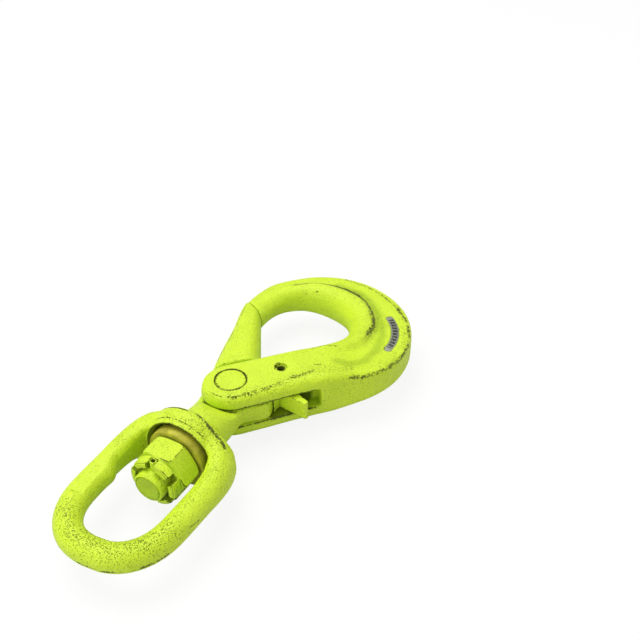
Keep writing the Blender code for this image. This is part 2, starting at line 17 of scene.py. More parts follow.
import bmesh
import bpy
import numpy as np
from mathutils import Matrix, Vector


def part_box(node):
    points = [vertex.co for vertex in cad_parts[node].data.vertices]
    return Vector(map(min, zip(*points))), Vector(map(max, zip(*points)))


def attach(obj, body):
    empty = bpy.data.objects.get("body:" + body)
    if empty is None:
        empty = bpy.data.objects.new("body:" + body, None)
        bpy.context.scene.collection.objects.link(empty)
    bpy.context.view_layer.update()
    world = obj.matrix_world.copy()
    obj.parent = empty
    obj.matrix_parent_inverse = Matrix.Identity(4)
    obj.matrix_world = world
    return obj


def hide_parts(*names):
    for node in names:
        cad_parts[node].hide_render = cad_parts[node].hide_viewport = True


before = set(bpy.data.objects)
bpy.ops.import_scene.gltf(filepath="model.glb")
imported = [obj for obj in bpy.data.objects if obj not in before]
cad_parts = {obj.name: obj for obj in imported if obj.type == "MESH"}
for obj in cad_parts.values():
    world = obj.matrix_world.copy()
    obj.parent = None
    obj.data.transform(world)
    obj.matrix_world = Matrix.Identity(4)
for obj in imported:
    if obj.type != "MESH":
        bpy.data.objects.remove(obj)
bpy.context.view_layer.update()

LOG = logging.getLogger("swivel_hook")
MM = 0.001
PIN_LOW, PIN_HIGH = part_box("pivot_pin")
PIVOT = (PIN_LOW + PIN_HIGH) / 2
ROLL_LOW, ROLL_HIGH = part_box("trigger_pin")
TRIGGER_AXIS = (ROLL_LOW + ROLL_HIGH) / 2

Spot = tuple[float, float, float]
Colour = tuple[float, float, float]


def at(x: float, y: float, z: float = 0.0) -> Vector:
    """Give the point that lies x, y, z millimetres from the pivot's middle."""
    return PIVOT + Vector((x, y, z)) * MM


def level_arc(radius: float, turns: range, level: float) -> list[Spot]:
    """Give points on a level circle about the pivot.

    Args:
        radius: The circle's radius in millimetres.
        turns: Angles of the points in degrees.
        level: Height above the hook's middle plane.

    Returns:
        The points, in millimetres from the pivot's middle.
    """
    angles = [math.radians(turn) for turn in turns]
    return [(radius * math.cos(angle), radius * math.sin(angle), level) for angle in angles]


def upright_arc(place: float, radius: float, turns: range) -> list[Spot]:
    """Give points on a circle about the load line.

    Args:
        place: Where the circle stands along the load line, in millimetres.
        radius: The circle's radius in millimetres.
        turns: Angles of the points from the top, in degrees.

    Returns:
        The points, in millimetres from the pivot's middle.
    """
    angles = [math.radians(turn) for turn in turns]
    return [(place, radius * math.sin(angle), radius * math.cos(angle)) for angle in angles]


def slot_edge(reaches: tuple[float, ...], level: float) -> list[Spot]:
    """Give points along the straight edge of the slot, from the pivot's boss outwards."""
    return [(-12.2 + 0.78 * reach, -15.3 - 0.625 * reach, level) for reach in reaches]


class Axis(Enum):
    """Direction that a turned piece is turned about."""

    ALONG_HOOK = "X"
    UPRIGHT = "Z"


class Cut(Enum):
    """How one solid works on another."""

    REMOVE = "DIFFERENCE"
    ADD = "UNION"
    KEEP_SHARED = "INTERSECT"


# ------------------------------------------------------------------ modelling
class Bench:
    """Hand modelling moves that every sub-assembly shares."""

    @staticmethod
    def pick(*pieces: bpy.types.Object) -> None:
        """Select only the given pieces and make the first one active.

        Args:
            pieces: The objects that the next operator works on.
        """
        if bpy.context.mode != "OBJECT":
            bpy.ops.object.mode_set(mode="OBJECT")
        bpy.ops.object.select_all(action="DESELECT")
        for piece in pieces:
            piece.select_set(True)
        bpy.context.view_layer.objects.active = pieces[0]

    @staticmethod
    @contextmanager
    def editing(piece: bpy.types.Object) -> Iterator[None]:
        """Work on the whole mesh of a piece in edit mode, then go back.

        Args:
            piece: The piece.

        Returns:
            Nothing; the work is done inside the with block.
        """
        Bench.pick(piece)
        bpy.ops.object.mode_set(mode="EDIT")
        bpy.ops.mesh.select_all(action="SELECT")
        yield
        bpy.ops.object.mode_set(mode="OBJECT")

    @staticmethod
    def named(name: str) -> bpy.types.Object:
        """Name the active object and its mesh.

        Args:
            name: The piece's name.

        Returns:
            The active object.
        """
        piece = bpy.context.view_layer.objects.active
        piece.name = name
        piece.data.name = name
        return piece

    @staticmethod
    def copy_of(node: str, name: str) -> bpy.types.Object:
        """Copy a frame node's shape into a new piece and weld it.

        Args:
            node: The frame node to start from.
            name: The new piece's name.

        Returns:
            The welded copy, with its place in its mesh.
        """
        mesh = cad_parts[node].data.copy()
        mesh.materials.clear()
        piece = bpy.data.objects.new(name, mesh)
        bpy.context.scene.collection.objects.link(piece)
        Bench.outwards(piece, 2e-6)
        return Bench.named(name)

    @staticmethod
    def apply(piece: bpy.types.Object, modifier: bpy.types.Modifier) -> None:
        """Apply one modifier of a piece."""
        Bench.pick(piece)
        bpy.ops.object.modifier_apply(modifier=modifier.name)

    @staticmethod
    def settle(piece: bpy.types.Object) -> None:
        """Put a piece's place, turn and scale into its mesh."""
        Bench.pick(piece)
        bpy.ops.object.transform_apply(location=True, rotation=True, scale=True)

    @staticmethod
    def turned(
        name: str,
        axis: Axis,
        centre: Vector,
        levels: list[tuple[float, float]],
        ring: bool = False,
        steps: int = 96,
    ) -> bpy.types.Object:
        """Turn a piece by extruding a disc from level to level.

        Args:
            name: The piece's name.
            axis: The direction of the turning axis.
            centre: A point on the axis; levels are measured from it.
            levels: Distance along the axis and radius of each step, in millimetres.
            ring: Whether the last level closes back onto the first, for a bored piece.
            steps: Sides of the turned circle.

        Returns:
            The closed piece.
        """
        level, radius = levels[0]
        bpy.ops.object.select_all(action="DESELECT")
        bpy.ops.mesh.primitive_circle_add(
            vertices=steps, radius=radius * MM, fill_type="NGON", location=(0, 0, level * MM)
        )
        piece = Bench.named(name)
        Bench.settle(piece)
        with Bench.editing(piece):
            for next_level, next_radius in levels[1:]:
                bpy.ops.mesh.extrude_region_move(
                    TRANSFORM_OT_translate={"value": (0, 0, (next_level - level) * MM)}
                )
                scale = next_radius / radius
                bpy.ops.transform.resize(
                    value=(scale, scale, 1.0), center_override=(0, 0, next_level * MM)
                )
                level, radius = next_level, next_radius
        if ring:
            Bench.close_ring(piece)
        if axis is Axis.ALONG_HOOK:
            piece.rotation_euler = (0.0, math.pi / 2, 0.0)
            Bench.settle(piece)
        piece.location = centre
        Bench.settle(piece)
        Bench.outwards(piece)
        return piece

    @staticmethod
    def close_ring(piece: bpy.types.Object) -> None:
        """Take off the two end discs and bridge their rims."""
        Bench.pick(piece)
        bpy.ops.object.mode_set(mode="EDIT")
        bm = bmesh.from_edit_mesh(piece.data)
        for face in bm.faces:
            face.select_set(len(face.verts) > 4)
        bm.select_flush(True)
        bmesh.update_edit_mesh(piece.data)
        bpy.ops.mesh.delete(type="ONLY_FACE")
        bpy.ops.mesh.select_all(action="DESELECT")
        bpy.ops.mesh.select_mode(type="EDGE")
        bpy.ops.mesh.select_non_manifold()
        bpy.ops.mesh.bridge_edge_loops()
        bpy.ops.object.mode_set(mode="OBJECT")

    @staticmethod
    def outwards(piece: bpy.types.Object, weld: float = 1e-6) -> None:
        """Weld a piece and turn all its faces outwards.

        Args:
            piece: The piece.
            weld: Vertices nearer than this are welded, in metres.
        """
        with Bench.editing(piece):
            bpy.ops.mesh.remove_doubles(threshold=weld)
            bpy.ops.mesh.normals_make_consistent(inside=False)

    @staticmethod
    def bar(name: str, centre: Vector, size: tuple[float, float, float],
            turn: float = 0.0, swing: float = 0.0) -> bpy.types.Object:
        """Make a square bar for cutting.

        Args:
            name: The bar's name.
            centre: Its middle.
            size: Its full sizes in millimetres.
            turn: Its turn about the hook's long axis, in radians.
            swing: Its turn about the upright axis, in radians.

        Returns:
            The bar.
        """
        bpy.ops.object.select_all(action="DESELECT")
        bpy.ops.mesh.primitive_cube_add(size=1.0, location=(0, 0, 0))
        piece = Bench.named(name)
        piece.scale = [side * MM for side in size]
        Bench.settle(piece)
        piece.rotation_euler = (turn, 0.0, swing)
        piece.location = centre
        Bench.settle(piece)
        return piece

    @staticmethod
    def work(piece: bpy.types.Object, tool: bpy.types.Object, how: Cut) -> None:
        """Cut, add or intersect one solid with another, which is used up.

        Args:
            piece: The solid that is kept.
            tool: The solid that works on it.
            how: What the tool does.
        """
        modifier = piece.modifiers.new("work", "BOOLEAN")
        modifier.operation = how.value
        modifier.solver = "EXACT"
        modifier.object = tool
        Bench.apply(piece, modifier)
        bpy.data.objects.remove(tool, do_unlink=True)

    @staticmethod
    def merge(piece: bpy.types.Object, *others: bpy.types.Object) -> None:
        """Join loose solids into a piece that is skinned next."""
        Bench.pick(piece, *others)
        bpy.ops.object.join()

    @staticmethod
    def forge(piece: bpy.types.Object, pitch: float, passes: int) -> None:
        """Give a piece one even skin and round its edges as forging does.

        Args:
            piece: One or more overlapping closed solids.
            pitch: The skin's mesh size in millimetres.
            passes: Smoothing passes.
        """
        skin = piece.modifiers.new("skin", "REMESH")
        skin.mode = "VOXEL"
        skin.voxel_size = pitch * MM
        skin.use_smooth_shade = True
        Bench.apply(piece, skin)
        Bench.relax(piece, passes)

    @staticmethod
    def relax(piece: bpy.types.Object, passes: int, low: Vector | None = None,
              high: Vector | None = None, fade: float = 4.0) -> None:
        """Smooth a piece, or only the part of it inside a box.

        Args:
            piece: The piece.
            passes: Smoothing passes.
            low: The box's lowest corner.
            high: The box's highest corner.
            fade: Distance in millimetres over which the effect fades outside the box.
        """
        smooth = piece.modifiers.new("relax", "SMOOTH")
        smooth.factor = 0.5
        smooth.iterations = passes
        if low is not None and high is not None:
            points = Surface.points(piece)
            outside = np.maximum(np.array(low) - points, points - np.array(high)).max(axis=1)
            weight = np.clip(1.0 - outside / (fade * MM), 0.0, 1.0)
            group = piece.vertex_groups.new(name="relax")
            for step in range(1, 11):
                near = np.nonzero((weight > (step - 1) / 10) & (weight <= step / 10))[0]
                group.add(near.tolist(), step / 10, "REPLACE")
            smooth.vertex_group = "relax"
        Bench.apply(piece, smooth)
        piece.vertex_groups.clear()

    @staticmethod
    def lengthen(piece: bpy.types.Object, spot: Vector, out: Vector, reach: float) -> None:
        """Draw a flat end out along its normal, so that skinning leaves it full.

        Args:
            piece: The piece.
            spot: A point on the flat end.
            out: The end's outward direction.
            reach: How far it is drawn, in millimetres.
        """
        Bench.pick(piece)
        bpy.ops.object.mode_set(mode="EDIT")
        bpy.ops.mesh.select_mode(type="FACE")
        bpy.ops.mesh.select_all(action="DESELECT")
        bm = bmesh.from_edit_mesh(piece.data)
        for face in bm.faces:
            flat = face.normal.dot(out) > 0.97
            near = abs((face.calc_center_median() - spot).dot(out)) < 0.3 * MM
            face.select_set(flat and near)
        bmesh.update_edit_mesh(piece.data)
        bpy.ops.mesh.extrude_region_move(TRANSFORM_OT_translate={"value": out * reach * MM})
        bpy.ops.object.mode_set(mode="OBJECT")

    @staticmethod
    def trim(piece: bpy.types.Object, spot: Vector, out: Vector) -> None:
        """Saw a piece off square at a flat end.

        Args:
            piece: The piece.
            spot: A point where the end has to lie.
            out: The end's outward direction.
        """
        saw = Bench.bar("saw", spot + out * 4.0 * MM, (8.0, 60.0, 60.0),
                        swing=math.atan2(out.y, out.x))
        Bench.work(piece, saw, Cut.REMOVE)

    @staticmethod
    def bevelled(piece: bpy.types.Object, width: float, segments: int = 3,
                 angle: float = 30.0) -> None:
        """Round the sharp edges of a piece.

        Args:
            piece: The piece.
            width: The bevel's width in millimetres.
            segments: Its segments.
            angle: The least angle between faces that counts as an edge, in degrees.
        """
        with Bench.editing(piece):
            bpy.ops.mesh.dissolve_limited(angle_limit=math.radians(1.5))
        bevel = piece.modifiers.new("edges", "BEVEL")
        bevel.width = width * MM
        bevel.segments = segments
        bevel.limit_method = "ANGLE"
        bevel.angle_limit = math.radians(angle)
        Bench.apply(piece, bevel)

    @staticmethod
    def rounded(piece: bpy.types.Object) -> None:
        """Subdivide a piece once, so that its facets go."""
        rounder = piece.modifiers.new("rounder", "SUBSURF")
        rounder.levels = rounder.render_levels = 1
        Bench.apply(piece, rounder)

    @staticmethod
    def shade(piece: bpy.types.Object, angle: float = 40.0) -> None:
        """Shade a piece smooth except across sharp edges."""
        Bench.pick(piece)
        bpy.ops.object.shade_smooth_by_angle(angle=math.radians(angle))


@dataclass
class Stroke:
    """A line on a surface along which the paint is rubbed off, pitted or given painted shade,
    through points in millimetres from the pivot.
    """

    path: list[Spot]
    width: float
    strength: float = 1.0


class Surface:
    """Readings of a piece's surface, kept as attributes for its paint."""

    RIDGE_START = 0.16
    VALLEY_START = 0.08
    BEND_SPAN = 0.45
    POCKET_FADE = 2.5 * MM

    @staticmethod
    def points(piece: bpy.types.Object) -> np.ndarray:
        """Give the piece's vertices as rows of x, y, z."""
        flat = np.empty(len(piece.data.vertices) * 3)
        piece.data.vertices.foreach_get("co", flat)
        return flat.reshape(-1, 3)

    @staticmethod
    def keep(piece: bpy.types.Object, name: str, values: np.ndarray) -> None:
        """Store one number per vertex.

        Args:
            piece: The piece.
            name: The attribute's name.
            values: The numbers.
        """
        layer = piece.data.attributes.new(name, "FLOAT", "POINT")
        layer.data.foreach_set("value", values.astype(np.float32))

    @staticmethod
    def bend(piece: bpy.types.Object, passes: int = 3) -> np.ndarray:
        """Measure how strongly the surface bends, in 1/mm; ridges are positive.

        Args:
            piece: A finely meshed piece.
            passes: Averaging passes over the neighbours.

        Returns:
            One value per vertex.
        """
        mesh = piece.data
        points = Surface.points(piece) / MM
        count = len(points)
        edges = np.empty(len(mesh.edges) * 2, dtype=np.int64)
        mesh.edges.foreach_get("vertices", edges)
        first, second = edges.reshape(-1, 2).T
        ends = np.concatenate([first, second])
        others = np.concatenate([second, first])
        number = np.maximum(np.bincount(ends, minlength=count), 1)
        offsets = points[others] - points[ends]
        mean = np.stack(
            [np.bincount(ends, offsets[:, i], count) for i in range(3)], axis=1
        ) / number[:, None]
        squares = np.bincount(ends, (offsets ** 2).sum(axis=1), count) / number
        normals = np.empty(count * 3)
        mesh.vertex_normals.foreach_get("vector", normals)
        value = -2.0 * (mean * normals.reshape(-1, 3)).sum(axis=1) / np.maximum(squares, 1e-6)
        value = np.clip(value, -2.0, 2.0)
        for _ in range(passes):
            around = np.bincount(ends, value[others], count) / number
            value = (value + 2.0 * around) / 3.0
        return value

    @staticmethod
    def along(points: np.ndarray, stroke: Stroke) -> np.ndarray:
        """Measure how near each point is to a stroke.

        Args:
            points: Rows of x, y, z in metres.
            stroke: The worn line.

        Returns:
            1 on the line, falling to 0 at its width.
        """
        nearest = np.full(len(points), 1e9)
        path = [np.array(at(*spot)) for spot in stroke.path]
        if len(path) == 1:
            path = path * 2
        for start, end in zip(path, path[1:]):
            step = end - start
            length = max(float(step @ step), 1e-12)
            t = np.clip((points - start) @ step / length, 0.0, 1.0)
            away = np.linalg.norm(points - (start + t[:, None] * step), axis=1)
            nearest = np.minimum(nearest, away)
        near = np.clip(1.0 - nearest / (stroke.width * MM), 0.0, 1.0)
        return stroke.strength * near * near * (3.0 - 2.0 * near)

    @staticmethod
    def bare_shaded_bore(piece: bpy.types.Object, centre: Vector, radius: float) -> None:
        """Leave the inside of a bore unpainted and dark; this is also painted shade for the depth
        of the bore.

        Args:
            piece: The bored piece, upright.
            centre: A point on the bore's axis.
            radius: Everything nearer to the axis than this is unpainted and dark, in millimetres.
        """
        points = Surface.points(piece)
        away = np.hypot(points[:, 0] - centre.x, points[:, 1] - centre.y)
        # Painted shade: the bore's inside gets full darkness, for unpainted steel and for the
        # shade deep in the bore.
        bare_and_shade = (away < radius * MM).astype(np.float32) * 1.5
        piece.data.attributes["wear_and_shade"].data.foreach_set("value", bare_and_shade)

    @staticmethod
    def darken(piece: bpy.types.Object, painted_shade: np.ndarray) -> None:
        """Add painted shade to the piece's cavity reading.

        Args:
            piece: The piece.
            painted_shade: The painted shade, one value per vertex.
        """
        held = np.empty(len(painted_shade), dtype=np.float32)
        layer = piece.data.attributes["cavity"].data
        layer.foreach_get("value", held)
        layer.foreach_set("value", np.maximum(held, painted_shade).astype(np.float32))

    @staticmethod
    def paint_shade_box(piece: bpy.types.Object, low: Vector, high: Vector, amount: float) -> None:
        """Paint shade on every face that stands inside a box, darkest deep inside it, as the shade
        in a pocket.

        Args:
            piece: The piece.
            low: The box's low corner.
            high: Its high corner.
            amount: How dark the middle of the box gets.
        """
        points = Surface.points(piece)
        depth = np.full(len(points), 1e9)
        for axis in range(3):
            depth = np.minimum(depth, points[:, axis] - low[axis])
            depth = np.minimum(depth, high[axis] - points[:, axis])
        Surface.darken(piece, np.clip(depth / Surface.POCKET_FADE, 0.0, 1.0) * amount)

    @staticmethod
    def paint_shade_ring(piece: bpy.types.Object, along: tuple[float, float],
                  radii: tuple[float, float], amount: float) -> None:
        """Paint shade on a ring about the load line, as in a gap between parts.

        Args:
            piece: The piece.
            along: Where the ring starts and ends along the load line, in millimetres.
            radii: Its inner and outer radius.
            amount: How dark it gets.
        """
        points = (Surface.points(piece) - np.array(PIVOT)) / MM
        away = np.hypot(points[:, 1], points[:, 2])
        inside = (points[:, 0] > along[0]) & (points[:, 0] < along[1])
        inside &= (away > radii[0]) & (away < radii[1])
        Surface.darken(piece, inside * amount)

    @staticmethod
    def read(piece: bpy.types.Object, worn_and_shaded: list[Stroke] | None = None,
             gritty: list[Stroke] | None = None) -> None:
        """Store the edge, cavity, rubbed lines and grit of a piece for its paint; the paint turns
        the cavity and some of the lines into painted shade.

        Args:
            piece: The finished mesh.
            worn_and_shaded: Lines where the paint has rubbed off, and lines of painted shade along
                gaps.
            gritty: Lines around which the paint is pitted.
        """
        points = Surface.points(piece)
        bend = Surface.bend(piece)
        ridge = (bend - Surface.RIDGE_START) / Surface.BEND_SPAN
        valley = (-bend - Surface.VALLEY_START) / Surface.BEND_SPAN
        Surface.keep(piece, "edge", np.clip(ridge, 0.0, 1.0))
        Surface.keep(piece, "cavity", np.clip(valley, 0.0, 1.0))
        for name, strokes in (("wear_and_shade", worn_and_shaded), ("grit", gritty)):
            total = np.zeros(len(points))
            for stroke in strokes or []:
                total = np.maximum(total, Surface.along(points, stroke))
            Surface.keep(piece, name, total)


# ------------------------------------------------------------------- finishes
class Graph:
    """Small helper that places and wires shader nodes."""

    def __init__(self, tree: bpy.types.NodeTree) -> None:
        """Work in the given node tree."""
        self.tree = tree

    def node(self, kind: str, **settings: object) -> bpy.types.Node:
        """Add a node.

        Args:
            kind: The node's type.
            settings: Properties to set on it.

        Returns:
            The node.
        """
        made = self.tree.nodes.new(kind)
        for key, value in settings.items():
            setattr(made, key, value)
        return made

    def wire(self, source: object, target: object) -> None:
        """Wire a socket, or set a plain value, into a target socket."""
        if isinstance(source, bpy.types.NodeSocket):
            self.tree.links.new(source, target)
        else:
            target.default_value = source

    def math(self, operation: str, first: object, second: object = 0.0,
             clamp: bool = False) -> bpy.types.NodeSocket:
        """Add a math node.

        Args:
            operation: Its operation.
            first: Its first value or socket.
            second: Its second value or socket.
            clamp: Whether the result is kept between 0 and 1.

        Returns:
            Its output socket.
        """
        made = self.node("ShaderNodeMath", operation=operation, use_clamp=clamp)
        self.wire(first, made.inputs[0])
        self.wire(second, made.inputs[1])
        return made.outputs[0]

    def plus(self, first: object, second: object, clamp: bool = False) -> bpy.types.NodeSocket:
        """Add two values."""
        return self.math("ADD", first, second, clamp)

    def minus(self, first: object, second: object) -> bpy.types.NodeSocket:
        """Take the second value from the first."""
        return self.math("SUBTRACT", first, second)

    def times(self, first: object, second: object) -> bpy.types.NodeSocket:
        """Multiply two values."""
        return self.math("MULTIPLY", first, second)

    def bump(self, height: object, strength: float, distance: float,
             shader: bpy.types.Node) -> None:
        """Let a height raise the surface of a shader.

        Args:
            height: The height's socket.
            strength: How strongly it shows.
            distance: The height of 1, in metres.
            shader: The Principled shader.
        """
        made = self.node("ShaderNodeBump")
        made.inputs["Strength"].default_value = strength
        made.inputs["Distance"].default_value = distance
        self.wire(height, made.inputs["Height"])
        self.wire(made.outputs["Normal"], shader.inputs["Normal"])

    def noise(self, place: object, scale: object, detail: float = 2.0,
              roughness: float = 0.5) -> bpy.types.NodeSocket:
        """Add a noise texture.

        Args:
            place: The coordinates.
            scale: Its scale per metre.
            detail: Its octaves.
            roughness: How strong the finer octaves are.

        Returns:
            Its value socket.
        """
        made = self.node("ShaderNodeTexNoise")
        self.wire(place, made.inputs["Vector"])
        self.wire(scale, made.inputs["Scale"])
        made.inputs["Detail"].default_value = detail
        made.inputs["Roughness"].default_value = roughness
        return made.outputs["Fac"]

    def ramp(self, value: object, low: object, high: object) -> bpy.types.NodeSocket:
        """Add a smooth step from 0 at low to 1 at high."""
        made = self.node("ShaderNodeMapRange", interpolation_type="SMOOTHSTEP")
        self.wire(value, made.inputs["Value"])
        self.wire(low, made.inputs["From Min"])
        self.wire(high, made.inputs["From Max"])
        return made.outputs["Result"]

    def blend(self, factor: object, first: object, second: object) -> bpy.types.NodeSocket:
        """Add a colour mix.

        Args:
            factor: How much of the second colour shows.
            first: The first colour.
            second: The second colour.

        Returns:
            Its colour socket.
        """
        made = self.node("ShaderNodeMix", data_type="RGBA")
        self.wire(factor, made.inputs[0])
        self.wire(first, made.inputs[6])
        self.wire(second, made.inputs[7])
        return made.outputs[2]

    def reading(self, name: str) -> bpy.types.NodeSocket:
        """Read one of the surface readings."""
        return self.node("ShaderNodeAttribute", attribute_name=name).outputs["Fac"]


class Effect(Enum):
    """Shared surface effects, each a shader node group."""

    CHIPPED_EDGE = "chipped_edge"
    PAINT_FLECK = "paint_fleck"
    FORGED_GRAIN = "forged_grain"


class Effects:
    """Builds each shared effect once and places it in materials."""

    @staticmethod
    def group(effect: Effect, inputs: dict[str, float], outputs: list[str]
              ) -> tuple[Graph, bpy.types.Node, bpy.types.Node]:
        """Start a node group with named sockets.

        Args:
            effect: Which effect the group is.
            inputs: Names and default values of its number inputs.
            outputs: Names of its number outputs.

        Returns:
            The graph, its input node and its output node.
        """
        tree = bpy.data.node_groups.new(effect.value, "ShaderNodeTree")
        tree.interface.new_socket("Place", in_out="INPUT", socket_type="NodeSocketVector")
        for name, value in inputs.items():
            made = tree.interface.new_socket(name, in_out="INPUT", socket_type="NodeSocketFloat")
            made.default_value = value
        for name in outputs:
            tree.interface.new_socket(name, in_out="OUTPUT", socket_type="NodeSocketFloat")
        graph = Graph(tree)
        return graph, graph.node("NodeGroupInput"), graph.node("NodeGroupOutput")

    @staticmethod
    def chipped_edge() -> None:
        """Build the mask of paint rubbed off along edges and along given lines; some of those
        lines are painted shade along gaps and in bores.
        """
        graph, inward, outward = Effects.group(
            Effect.CHIPPED_EDGE, {"Edge": 0.0, "Wear": 0.0, "Amount": 1.0}, ["Mask"]
        )
        place = inward.outputs["Place"]
        patch = graph.noise(place, 95.0, 3.0, 0.6)
        grain = graph.noise(place, 900.0, 4.0, 0.65)
        broken = graph.times(inward.outputs["Edge"], graph.ramp(patch, 0.40, 0.60))
        tear = graph.noise(place, 260.0, 2.0, 0.7)
        ragged = graph.times(inward.outputs["Wear"], graph.plus(0.12, graph.times(tear, 1.75)))
        worn_and_shaded = graph.math("MAXIMUM", graph.times(broken, 0.80), ragged)
        worn_and_shaded = graph.times(worn_and_shaded, inward.outputs["Amount"])
        total = graph.plus(worn_and_shaded, graph.times(grain, 1.7))
        graph.wire(graph.ramp(total, 1.20, 1.42), outward.inputs["Mask"])

    @staticmethod
    def paint_fleck() -> None:
        """Build the small dark flecks and pits in sprayed paint."""
        graph, inward, outward = Effects.group(
            Effect.PAINT_FLECK, {"Grit": 0.0, "Density": 0.1, "Scale": 1200.0}, ["Mask", "Tint"]
        )
        place = inward.outputs["Place"]
        patch = graph.noise(place, 70.0, 3.0, 0.6)
        fine = graph.noise(place, inward.outputs["Scale"], 2.5, 0.6)
        more = graph.times(inward.outputs["Grit"], 0.105)
        more = graph.plus(more, graph.times(inward.outputs["Density"], 0.1))
        more = graph.plus(more, graph.times(graph.minus(patch, 0.5), 0.14))
        low = graph.minus(0.655, more)
        high = graph.plus(low, 0.06)
        graph.wire(graph.ramp(fine, low, high), outward.inputs["Mask"])
        graph.wire(graph.ramp(fine, 0.42, graph.plus(low, 0.03)), outward.inputs["Tint"])

    @staticmethod
    def forged_grain() -> None:
        """Build the height of a forged surface under sprayed paint."""
        graph, inward, outward = Effects.group(
            Effect.FORGED_GRAIN, {"Waves": 0.5, "Peel": 0.5}, ["Height", "Tone"]
        )
        place = inward.outputs["Place"]
        waves = graph.noise(place, 160.0, 5.0, 0.68)
        peel = graph.noise(place, 1500.0, 2.0, 0.5)
        height = graph.times(waves, inward.outputs["Waves"])
        height = graph.plus(height, graph.times(peel, inward.outputs["Peel"]))
        graph.wire(height, outward.inputs["Height"])
        graph.wire(graph.noise(place, 45.0, 3.0, 0.6), outward.inputs["Tone"])

    @staticmethod
    def build() -> None:
        """Build every shared effect."""
        Effects.chipped_edge()
        Effects.paint_fleck()
        Effects.forged_grain()

    @staticmethod
    def place(graph: Graph, effect: Effect, place: object, **values: object) -> bpy.types.Node:
        """Place an effect in a material.

        Args:
            graph: The material's graph.
            effect: Which effect.
            place: The coordinates it follows.
            values: Its other inputs, by socket name.

        Returns:
            The group node.
        """
        made = graph.node("ShaderNodeGroup", node_tree=bpy.data.node_groups[effect.value])
        graph.wire(place, made.inputs["Place"])
        for name, value in values.items():
            graph.wire(value, made.inputs[name])
        return made


def rgba(colour: Colour) -> tuple[float, float, float, float]:
    """Give an opaque colour."""
    return (*colour, 1.0)


@dataclass(frozen=True)
class Finish:
    """What every finish has."""

    name: str

    def start(self) -> tuple[bpy.types.Material, Graph, bpy.types.Node, bpy.types.NodeSocket]:
        """Start the material.

        Returns:
            The material, its graph, its Principled shader and the object coordinates.
        """
        material = bpy.data.materials.new(self.name)
        material.use_nodes = True
        graph = Graph(material.node_tree)
        shader = material.node_tree.nodes["Principled BSDF"]
        place = graph.node("ShaderNodeTexCoord").outputs["Object"]
        return material, graph, shader, place


@dataclass(frozen=True)
class SprayPaint(Finish):
    """Bright sprayed paint over a forged or machined surface, with painted shade in its creases,
    pockets and gaps.
    """

    colour: Colour = (0.725, 0.945, 0.036)
    # Darker tone of the paint, used for random tone and as painted shade in creases.
    deep_tone_and_shade: Colour = (0.40, 0.585, 0.010)
    # Dark olive of the flecks, also the colour of the painted shade deep in pockets and gaps.
    fleck_and_shade: Colour = (0.135, 0.165, 0.005)
    # Dark unpainted steel of chipped paint, also the colour of the painted shade lines along gaps
    # and in bores.
    bare_and_shade: Colour = (0.055, 0.066, 0.004)
    density: float = 0.1
    fleck_scale: float = 1350.0
    wear_and_shade: float = 1.0
    waves: float = 0.6
    peel: float = 0.35
    roughness: float = 0.42

    def build(self) -> bpy.types.Material:
        """Build the paint.

        Returns:
            The material.
        """
        material, graph, shader, place = self.start()
        edge, cavity = graph.reading("edge"), graph.reading("cavity")
        wear_and_shade, grit = graph.reading("wear_and_shade"), graph.reading("grit")
        # Chipped paint along edges and given lines, plus the painted shade drawn as dark lines
        # along gaps and in bores.
        chips_and_shade = Effects.place(graph, Effect.CHIPPED_EDGE, place, Edge=edge, Wear=wear_and_shade,
                              Amount=self.wear_and_shade).outputs["Mask"]
        flecks = Effects.place(graph, Effect.PAINT_FLECK, place, Grit=grit,
                               Density=self.density, Scale=self.fleck_scale)
        grain = Effects.place(graph, Effect.FORGED_GRAIN, place, Waves=self.waves, Peel=self.peel)
        tone = graph.ramp(grain.outputs["Tone"], 0.3, 0.75)
        # Painted shade: concave creases, and the pockets and gaps darkened in the cavity reading,
        # turn to the darker tone; tone noise varies it at random.
        shade = graph.plus(graph.times(tone, 0.20), cavity, clamp=True)
        shade = graph.plus(shade, graph.times(edge, 0.30), clamp=True)
        shade = graph.plus(shade, graph.times(flecks.outputs["Tint"], 0.52), clamp=True)
        colour = graph.blend(shade, rgba(self.colour), rgba(self.deep_tone_and_shade))
        # Painted shade: cavity readings above 0.9, mostly from darkened pockets and gaps, turn to
        # the dark olive of the flecks; then flecks and chipped paint.
        for mask, share, tint in ((graph.ramp(cavity, 0.9, 2.0), 0.85, self.fleck_and_shade),
                                  (flecks.outputs["Mask"], 0.66, self.fleck_and_shade),
                                  (chips_and_shade, 0.9, self.bare_and_shade)):
            colour = graph.blend(graph.times(mask, share), colour, rgba(tint))
        graph.wire(colour, shader.inputs["Base Color"])
        rough = graph.plus(self.roughness, graph.times(chips_and_shade, 0.2))
        rough = graph.plus(rough, graph.times(tone, 0.08))
        graph.wire(rough, shader.inputs["Roughness"])
        height = graph.minus(grain.outputs["Height"], graph.times(flecks.outputs["Mask"], 0.35))
        height = graph.minus(height, graph.times(chips_and_shade, 0.3))
        graph.bump(height, 1.0, 0.0009, shader)
        shader.inputs["Specular IOR Level"].default_value = 0.38
        return material


@dataclass(frozen=True)
class BareMetal(Finish):
    """Plated, polished or drawn metal."""

    colour: Colour = (0.55, 0.55, 0.56)
    stain: Colour = (0.35, 0.35, 0.36)
    roughness: float = 0.3
    lines: float = 300.0
    metallic: float = 1.0

    def build(self) -> bpy.types.Material:
        """Build the metal.

        Returns:
            The material.
        """
        material, graph, shader, place = self.start()
        cloud = graph.ramp(graph.noise(place, 120.0, 4.0, 0.6), 0.35, 0.7)
        fine = graph.noise(place, self.lines * 6.0, 2.0, 0.5)
        graph.wire(graph.blend(cloud, rgba(self.colour), rgba(self.stain)),
                   shader.inputs["Base Color"])
        rough = graph.plus(self.roughness, graph.times(cloud, 0.15))
        graph.wire(rough, shader.inputs["Roughness"])
        shader.inputs["Metallic"].default_value = self.metallic
        graph.bump(fine, 0.25, 0.0002, shader)
        return material


